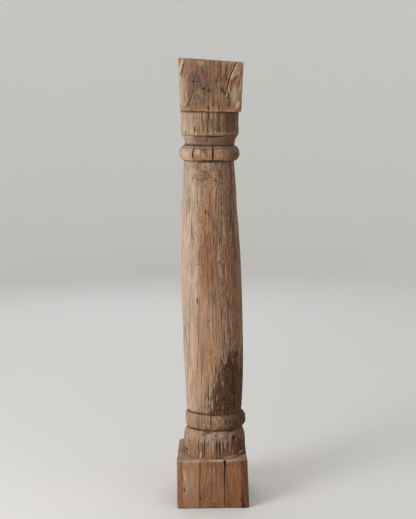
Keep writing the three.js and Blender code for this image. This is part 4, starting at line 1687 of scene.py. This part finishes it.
class TimberGraph(Graph):
    """The old timber's tree, laid colour over colour.

    Attributes:
        wood: The finish with its colours.
        start: The plain place in the timber.
        knots: Each knot with the way from its middle and the distance in its own shape.
        where: The place in the timber, with the grain bent round the knots.
        fibre: The fine fibres of the grain.
        dash: The short dashes of the grain.
        grit: Fine dirt.
        shown: The colour so far.
    """

    def __init__(self, tree: bpy.types.NodeTree, wood: OldTimber) -> None:
        """Take the tree to build in and the finish, and lay out what every layer reads.

        Args:
            tree: The material's tree.
            wood: The finish.
        """
        super().__init__(tree)
        self.wood = wood
        self.start = self.add("ShaderNodeAttribute", attribute_name="timber").outputs["Vector"]
        self.knots = [(knot, *self.away(knot)) for knot in KNOTS]
        self.where = self.bent_grain()
        self.fibre = self.grain(Grain.FIBRE)
        self.dash = self.grain(Grain.DASH)
        self.grit = self.noise(self.vector("MULTIPLY", self.where, (260.0, 260.0, 110.0)), 3.0, 0.7, 10.0)
        self.shown = None

    def mark(self, name: str) -> Socket:
        """Return a named mark of the surface as a number."""
        return self.add("ShaderNodeAttribute", attribute_name=name).outputs["Fac"]

    def eased(self, name: str, low: float, high: float, start: float = 0.0, end: float = 1.0) -> Socket:
        """Return a named mark, eased from start at low to end at high."""
        return self.band(self.mark(name), low, high, start, end)

    def lay(self, share: object, colour: object) -> None:
        """Lay a share of a colour over the colour so far."""
        self.shown = self.blend(share, self.shown, colour)

    def away(self, knot: Knot) -> tuple[Socket, Socket]:
        """Return the way from a knot's middle, and the distance measured in its own shape."""
        off = self.vector("SUBTRACT", self.start, knot.at)
        return off, self.length(self.vector("MULTIPLY", off, (1.0, 1.0, knot.squat)))

    def bent_grain(self) -> Socket:
        """Bend the grain round the knots, and set rings in the large ones.

        Returns:
            The place in the timber.
        """
        sway = self.noise(self.vector("MULTIPLY", self.start, (14.0, 14.0, 4.5)), 2.0, 0.5, 41.0)
        where = self.vector("ADD", self.start, self.joined(self.math("MULTIPLY_ADD", sway, 0.016, -0.008)))
        for knot, off, distance in self.knots:
            area = self.math("MULTIPLY_ADD", distance, distance, knot.radius**2)
            pull = self.math("DIVIDE", 1.4 * knot.radius**2, area)
            sideways = self.vector("MULTIPLY", off, (1.0, 1.0, 0.0))
            where = self.vector("SUBTRACT", where, self.scaled(sideways, pull))
            if knot.rings:
                ringed = self.vector("ADD", self.scaled(self.joined(distance), 1.3), knot.at)
                inside = self.band(distance, 0.75 * knot.radius, 1.35 * knot.radius, 1.0, 0.0)
                wires = {0: inside, 4: where, 5: ringed}
                where = self.add("ShaderNodeMix", wires, data_type="VECTOR").outputs[1]
        return where

    def stretched(self, width: float, length: float, detail: float, seed: float) -> Socket:
        """Return noise stretched along the grain, with waves of a width and a length."""
        scale = (1.0 / width, 1.0 / width, 1.0 / length)
        return self.noise(self.vector("MULTIPLY", self.where, scale), detail, 0.6, seed)

    def grain(self, kind: Grain) -> Socket:
        """Return one of the patterns in the grain."""
        return self.stretched(*kind.value)

    def lay_sound_wood(self) -> None:
        """Colour the wood before dirt: plain, grey, warm, russet and bleached, with its streaks."""
        wood = self.wood
        mottle, streak = self.grain(Grain.MOTTLE), self.grain(Grain.STREAK)
        calm = self.eased("furrow", 0.25, 0.5, 0.5, 1.0)
        self.shown = self.blend(self.times(self.band(streak, 0.46, 0.6), calm), wood.tan, wood.honey)
        self.lay(self.times(self.band(mottle, 0.48, 0.34, 0.0, 0.4), calm), wood.ash)
        warmth = self.math("MULTIPLY_ADD", self.mark("warm"), 0.16, self.grain(Grain.BROAD))
        self.lay(self.band(self.stirred(warmth, mottle, 0.9), 0.47, 0.78, 0.0, 0.8), wood.ochre)
        height = self.parts(self.where)[2]
        self.lay(self.band(height, 0.15, 0.25, 0.9, 0.0), wood.russet)
        pale_line = self.times(self.band(self.fibre, 0.46, 0.34), calm)
        dark_line = self.times(self.band(self.fibre, 0.51, 0.6), calm)
        dark_dash = self.times(self.band(self.dash, 0.51, 0.61), calm)
        self.lay(self.times(pale_line, 0.72), wood.honey)
        self.lay(self.times(dark_line, 0.74), wood.brown)
        self.lay(self.times(dark_dash, 0.62), wood.brown)
        sunned = self.blend(self.band(streak, 0.4, 0.62), wood.bleached, wood.straw)
        sunned = self.blend(self.times(dark_line, 0.15), sunned, wood.brown)
        given = self.mark("bleach")
        bleach = self.stirred(self.stirred(given, self.fibre, 1.0), mottle, 0.8)
        self.lay(self.times(self.band(bleach, 0.1, 0.85), self.band(given, 0.0, 0.15)), sunned)

    def lay_checks(self) -> None:
        """Draw the hairline checks that run along the grain, each of an even width."""
        x, y, height = self.parts(self.where)
        way = self.times(self.math("ARCTAN2", x, self.times(y, -1.0)), 0.1)
        sunned = self.eased("bleach", 0.1, 0.9, 1.0, 0.75)
        open_grain = self.eased("furrow", 0.15, 0.5, 0.25, 1.0)
        for width, length, opening, seed, strength in CHECKS:
            up = self.math("DIVIDE", height, length)
            sides = []
            for shift in (0.0, opening):
                across = self.math("DIVIDE", self.math("ADD", way, shift), width)
                noise = self.noise(self.joined(across, up), 1.0, 0.4, seed)
                sides.append(self.math("SUBTRACT", noise, 0.5))
            crossed = self.math("LESS_THAN", self.times(*sides), 0.0)
            patch = self.band(self.stretched(0.026, max(0.11, 0.5 * length), 3.0, seed + 1.0), 0.44, 0.56)
            self.lay(self.times(crossed, patch, sunned, open_grain, strength), self.wood.soot)

    def lay_knots(self) -> None:
        """Draw the knots' rings, their red halos and their dark hearts."""
        ring_wobble = self.noise(self.scaled(self.start, 70.0), 2.0, 0.6, 15.0)
        heart_wobble = self.noise(self.scaled(self.start, 110.0), 2.0, 0.6, 5.0)
        rings, dark, red = 0.0, 0.0, 0.0
        for knot, _, distance in self.knots:
            rough = self.math("MULTIPLY_ADD", heart_wobble, knot.radius, distance)
            heart = self.band(rough, 0.6 * knot.radius, 1.3 * knot.radius, knot.dark, 0.0)
            halo = self.band(rough, 0.8 * knot.radius, 2.2 * knot.radius, knot.red, 0.0)
            dark = self.math("MAXIMUM", dark, heart)
            red = self.math("MAXIMUM", red, halo)
            if knot.rings:
                wave = self.math("MULTIPLY_ADD", ring_wobble, 9.0, self.times(distance, 960.0))
                line = self.band(self.math("SINE", wave), 0.25, 0.9)
                near = self.band(distance, knot.radius, 1.7 * knot.radius, 1.0, 0.0)
                rings = self.math("MAXIMUM", rings, self.times(line, near))
        self.lay(rings, self.wood.brown)
        self.lay(self.times(red, 0.7), self.wood.red)
        self.lay(dark, self.wood.soot)

    def lay_end_grain(self) -> None:
        """Draw the growth rings and rays that show on the top and the underside."""
        wobble = self.noise(self.scaled(self.start, 22.0), 3.0, 0.5, 31.0)
        heart = self.vector("ADD", self.start, (0.06, -0.075, 0.0))
        flat = self.vector("MULTIPLY", heart, (1.0, 1.0, 0.0))
        far = self.math("MULTIPLY_ADD", wobble, 0.012, self.length(flat))
        ring = self.noise(self.joined(self.times(far, 260.0)))
        x, y, _ = self.parts(flat)
        angle = self.times(self.math("ARCTAN2", y, x), 26.0)
        ray = self.noise(self.joined(angle, self.times(far, 9.0)))
        rings = self.blend(self.band(ring, 0.38, 0.62), self.wood.dust, self.wood.brown)
        rings = self.blend(self.band(ray, 0.6, 0.72, 0.0, 0.8), rings, self.wood.soot)
        self.lay(self.times(self.mark("end_grain"), 0.62), rings)

    def lay_tones(self) -> None:
        """Break up the crude carving, and lay light and dark tones over the wood, with painted shade on the
        right side of the round parts.
        """
        rough = self.eased("crude", 0.05, 0.65)
        lumps = self.grain(Grain.LUMP)
        self.lay(self.times(rough, self.band(lumps, 0.5, 0.36, 0.0, 0.55)), self.wood.ochre)
        self.lay(self.times(rough, self.band(lumps, 0.5, 0.66, 0.0, 0.7)), self.wood.brown)
        tone = self.mark("tone")
        self.lay(self.band(tone, 0.0, 1.0, 0.0, 0.62), self.wood.honey)
        # Below zero the tone is partly painted shade on the right side of the round parts.
        self.lay(self.band(tone, 0.0, -1.5, 0.0, 0.85), self.wood.umber)

    def lay_patches(self) -> None:
        """Darken the furrows and the dim patches, and warm the rusty ones."""
        sheltered = self.eased("bleach", 0.2, 0.9, 0.3, 0.08)
        self.lay(self.times(self.eased("furrowed", 0.3, 0.8), sheltered), self.wood.brown)
        self.lay(self.times(self.mark("dim"), self.band(self.grit, 0.34, 0.6, 0.5, 1.5)), self.wood.brown)
        rusty = self.band(self.fibre, 0.6, 0.42, 0.1, 0.5)
        self.lay(self.times(self.mark("warm"), rusty), self.wood.ochre)

    def lay_stain(self) -> None:
        """Lay the ragged dark patch over the wood, with warm flecks in it."""
        given = self.mark("stain")
        edge = self.stirred(self.stirred(given, self.fibre, 2.6), self.dash, 0.9)
        edge = self.stirred(edge, self.grain(Grain.BLOT), 1.8)
        edge = self.times(edge, self.band(given, 0.0, 0.08))
        stained = self.band(edge, 0.2, 1.0, 0.0, 0.95)
        self.lay(stained, self.wood.stain)
        pale_dash = self.band(self.dash, 0.5, 0.36, 0.0, 0.45)
        pale_fibre = self.band(self.fibre, 0.44, 0.34, 0.0, 0.65)
        self.lay(self.times(stained, self.math("MAXIMUM", pale_dash, pale_fibre)), self.wood.rust)

    def lay_silver(self) -> None:
        """Lay the grey, fibrous patches with their dark stripes over the wood."""
        stripes, given = self.grain(Grain.STRIPE), self.mark("silver")
        silver = self.stirred(self.stirred(given, self.grit, 1.3), stripes, -1.2)
        silver = self.times(silver, self.band(given, 0.0, 0.12))
        grey = self.blend(self.band(stripes, 0.44, 0.56, 0.0, 0.88), self.wood.silver, self.wood.soot)
        self.lay(self.band(silver, 0.25, 1.0, 0.0, 0.85), grey)

    def lay_wear(self) -> None:
        """Rub the arrises light, lay the pale patches, which are partly painted highlight on lit edges and
        arrises, and lay dust on what faces up.
        """
        cloud = self.noise(self.scaled(self.where, 38.0), 4.0, 0.65, 9.0)
        worn = self.times(self.mark("edge"), self.band(cloud, 0.38, 0.62, 0.0, 0.5))
        self.lay(self.times(worn, self.eased("tone", -1.2, -0.4, 0.2, 1.0)), self.wood.honey)
        # The pale patches are partly painted highlight.
        pale = self.times(self.mark("pale"), self.band(self.grit, 0.3, 0.55, 0.35, 1.0))
        self.lay(pale, self.wood.bleached)
        dust = self.times(self.mark("ledge"), self.band(cloud, 0.3, 0.6, 0.2, 0.5))
        self.lay(self.times(dust, self.eased("stain", 0.0, 0.7, 1.0, 0.2)), self.wood.dust)

    def lay_dirt(self) -> None:
        """Rub grime and painted shade into the creases and soot into its patches, and paint shade into the
        splits.
        """
        # Painted shade and dirt in the creases.
        crease = self.eased("crease", 0.3, 1.0)
        self.lay(self.times(crease, self.band(self.grit, 0.3, 0.55, 0.55, 0.95)), self.wood.grime)
        given = self.mark("soot")
        soot = self.times(self.stirred(given, self.grit, 1.1), self.band(given, 0.0, 0.12))
        self.lay(self.band(soot, 0.22, 0.75, 0.0, 0.95), self.wood.soot)
        # Painted shade at the bottom of the splits and on their rims.
        self.lay(self.eased("hidden", 0.05, 0.5), self.wood.deep)

    def colour(self) -> Socket:
        """Lay the wood's colours over each other.

        Returns:
            The finished colour.
        """
        self.lay_sound_wood()
        self.lay_checks()
        self.lay_knots()
        self.lay_end_grain()
        self.lay_tones()
        self.lay_patches()
        self.lay_stain()
        self.lay_silver()
        self.lay_wear()
        self.lay_dirt()
        return self.shown


@dataclass(frozen=True)
class Lamp:
    """A soft lamp that the camera doesn't see.

    Attributes:
        name: Its name.
        at: Where it hangs.
        size: Its width and height.
        power: Its power in watts.
        tint: Its colour.
        aim: The point that it faces.
    """

    name: str
    at: Point
    size: tuple[float, float]
    power: float
    tint: tuple[float, float, float] = (1.0, 1.0, 1.0)
    aim: Point = (0.0, 0.0, 0.78)

    def hang(self) -> None:
        """Add the lamp to the scene."""
        lamp = bpy.data.lights.new(self.name, "AREA")
        lamp.shape = "RECTANGLE"
        lamp.size, lamp.size_y = self.size
        lamp.energy = self.power
        lamp.color = self.tint
        made = bpy.data.objects.new(self.name, lamp)
        made.location = self.at
        made.rotation_euler = (Vector(self.aim) - Vector(self.at)).to_track_quat("-Z", "Y").to_euler()
        made.visible_camera = False
        bpy.context.collection.objects.link(made)


LAMPS = (
    Lamp("key", (-2.55, -2.0, 1.75), (1.5, 1.7), 66.0, (1.0, 0.985, 0.96)),
    Lamp("fill_right", (3.0, -2.4, 1.6), (2.2, 2.2), 6.5, (1.0, 0.84, 0.68)),
    Lamp("fill_back", (-0.6, 3.4, 2.2), (2.4, 2.0), 14.0),
    Lamp("top", (0.2, -0.4, 3.6), (2.5, 2.5), 12.0, (1.0, 0.95, 0.9)),
)


@dataclass
class Studio:
    """The pale sweep, the soft light and the camera.

    Attributes:
        camera_at: Where the camera stands.
        tilt: The camera's angle from straight down, in degrees.
        roll: The camera's roll, in degrees.
        lens: The focal length in millimetres.
        sensor: The length of the sensor in millimetres.
        bend: The radius of the bend from floor to wall.
        around: The number of columns round the sweep.
        sunk: How far the floor lies below the column, so that the two never touch.
        paint: The sweep's colour.
        air: The colour of the light from all round.
        air_strength: How strong that light is.
        wall_power: The power in watts of each lamp for the walls.
    """

    camera_at: Point = (-0.0071, -3.2, 1.327)
    tilt: float = 80.743
    roll: float = -0.7
    lens: float = 69.36
    sensor: float = 36.0
    room_radius: float = 5.6
    room_height: float = 5.0
    bend: float = 1.4
    bend_steps: int = 16
    around: int = 96
    sunk: float = 0.0005
    paint: Colour = (0.815, 0.815, 0.812, 1.0)
    air: Colour = (1.0, 0.94, 0.86, 1.0)
    air_strength: float = 0.13
    wall_power: float = 40.0

    def profile(self) -> list[tuple[float, float]]:
        """Return the sweep's way out and height, from the floor to the top of the wall."""
        angles = [math.pi / 2 * number / self.bend_steps for number in range(self.bend_steps + 1)]
        ways = [self.room_radius - self.bend * (1.0 - math.sin(angle)) for angle in angles]
        heights = [self.bend * (1.0 - math.cos(angle)) for angle in angles]
        return [*zip(ways, heights), (self.room_radius, self.room_height)]

    def sweep(self) -> bpy.types.Object:
        """Build the round pale floor that bends up into the walls on all sides.

        Returns:
            The sweep's object.
        """
        profile = self.profile()
        vertices = [(0.0, 0.0, -self.sunk)]
        for way, height in profile:
            for number in range(self.around):
                angle = 2.0 * math.pi * number / self.around
                vertices.append((way * math.cos(angle), way * math.sin(angle), height - self.sunk))
        turns = [(number, (number + 1) % self.around) for number in range(self.around)]
        faces = [(0, 1 + here, 1 + after) for here, after in turns]
        for ring in range(len(profile) - 1):
            low, high = 1 + ring * self.around, 1 + (ring + 1) * self.around
            faces += [(low + here, high + here, high + after, low + after) for here, after in turns]
        mesh = bpy.data.meshes.new("studio_sweep")
        mesh.from_pydata(vertices, [], faces)
        mesh.shade_smooth()
        mesh.materials.append(self.painted())
        made = bpy.data.objects.new("studio_sweep", mesh)
        bpy.context.collection.objects.link(made)
        return made

    def painted(self) -> bpy.types.Material:
        """Mix the sweep's matt paint.

        Returns:
            The material.
        """
        paint = bpy.data.materials.new("studio_paint")
        paint.use_nodes = True
        shader = paint.node_tree.nodes["Principled BSDF"]
        shader.inputs["Base Color"].default_value = self.paint
        shader.inputs["Roughness"].default_value = 0.9
        return paint

    def lights(self) -> None:
        """Light the column softly from the left, with a fill all round and lamps for the walls."""
        for lamp in LAMPS:
            lamp.hang()
        for number in range(4):
            angle = math.radians(45.0 + 90.0 * number)
            at = (2.4 * math.cos(angle), 2.4 * math.sin(angle), 4.4)
            aim = (5.4 * math.cos(angle), 5.4 * math.sin(angle), 1.0)
            Lamp(f"wall_{number}", at, (3.0, 1.2), self.wall_power, aim=aim).hang()
        world = bpy.data.worlds.new("studio_air")
        world.use_nodes = True
        background = world.node_tree.nodes["Background"]
        background.inputs["Color"].default_value = self.air
        background.inputs["Strength"].default_value = self.air_strength
        bpy.context.scene.world = world

    def camera(self) -> None:
        """Set up the camera where the photograph was taken from."""
        data = bpy.data.cameras.new("camera")
        data.lens = self.lens
        data.sensor_width = self.sensor
        made = bpy.data.objects.new("camera", data)
        pitch = Euler((math.radians(self.tilt), 0.0, 0.0)).to_matrix()
        turn = pitch @ Matrix.Rotation(math.radians(self.roll), 3, "Z")
        made.location = self.camera_at
        made.rotation_euler = turn.to_euler()
        bpy.context.collection.objects.link(made)
        bpy.context.scene.camera = made

    def build(self) -> None:
        """Build the whole studio."""
        self.sweep()
        self.lights()
        self.camera()
        bpy.context.scene.view_settings.view_transform = "Standard"
        LOG.info("studio ready")


def main() -> None:
    """Build, dress and report the column."""
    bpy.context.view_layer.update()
    column = CarvedTimber().build()
    Weathering().apply(column, OldTimber().material())
    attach(column, BODY)
    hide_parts(NODE)
    Studio().build()


if __name__ == "__main__":
    main()
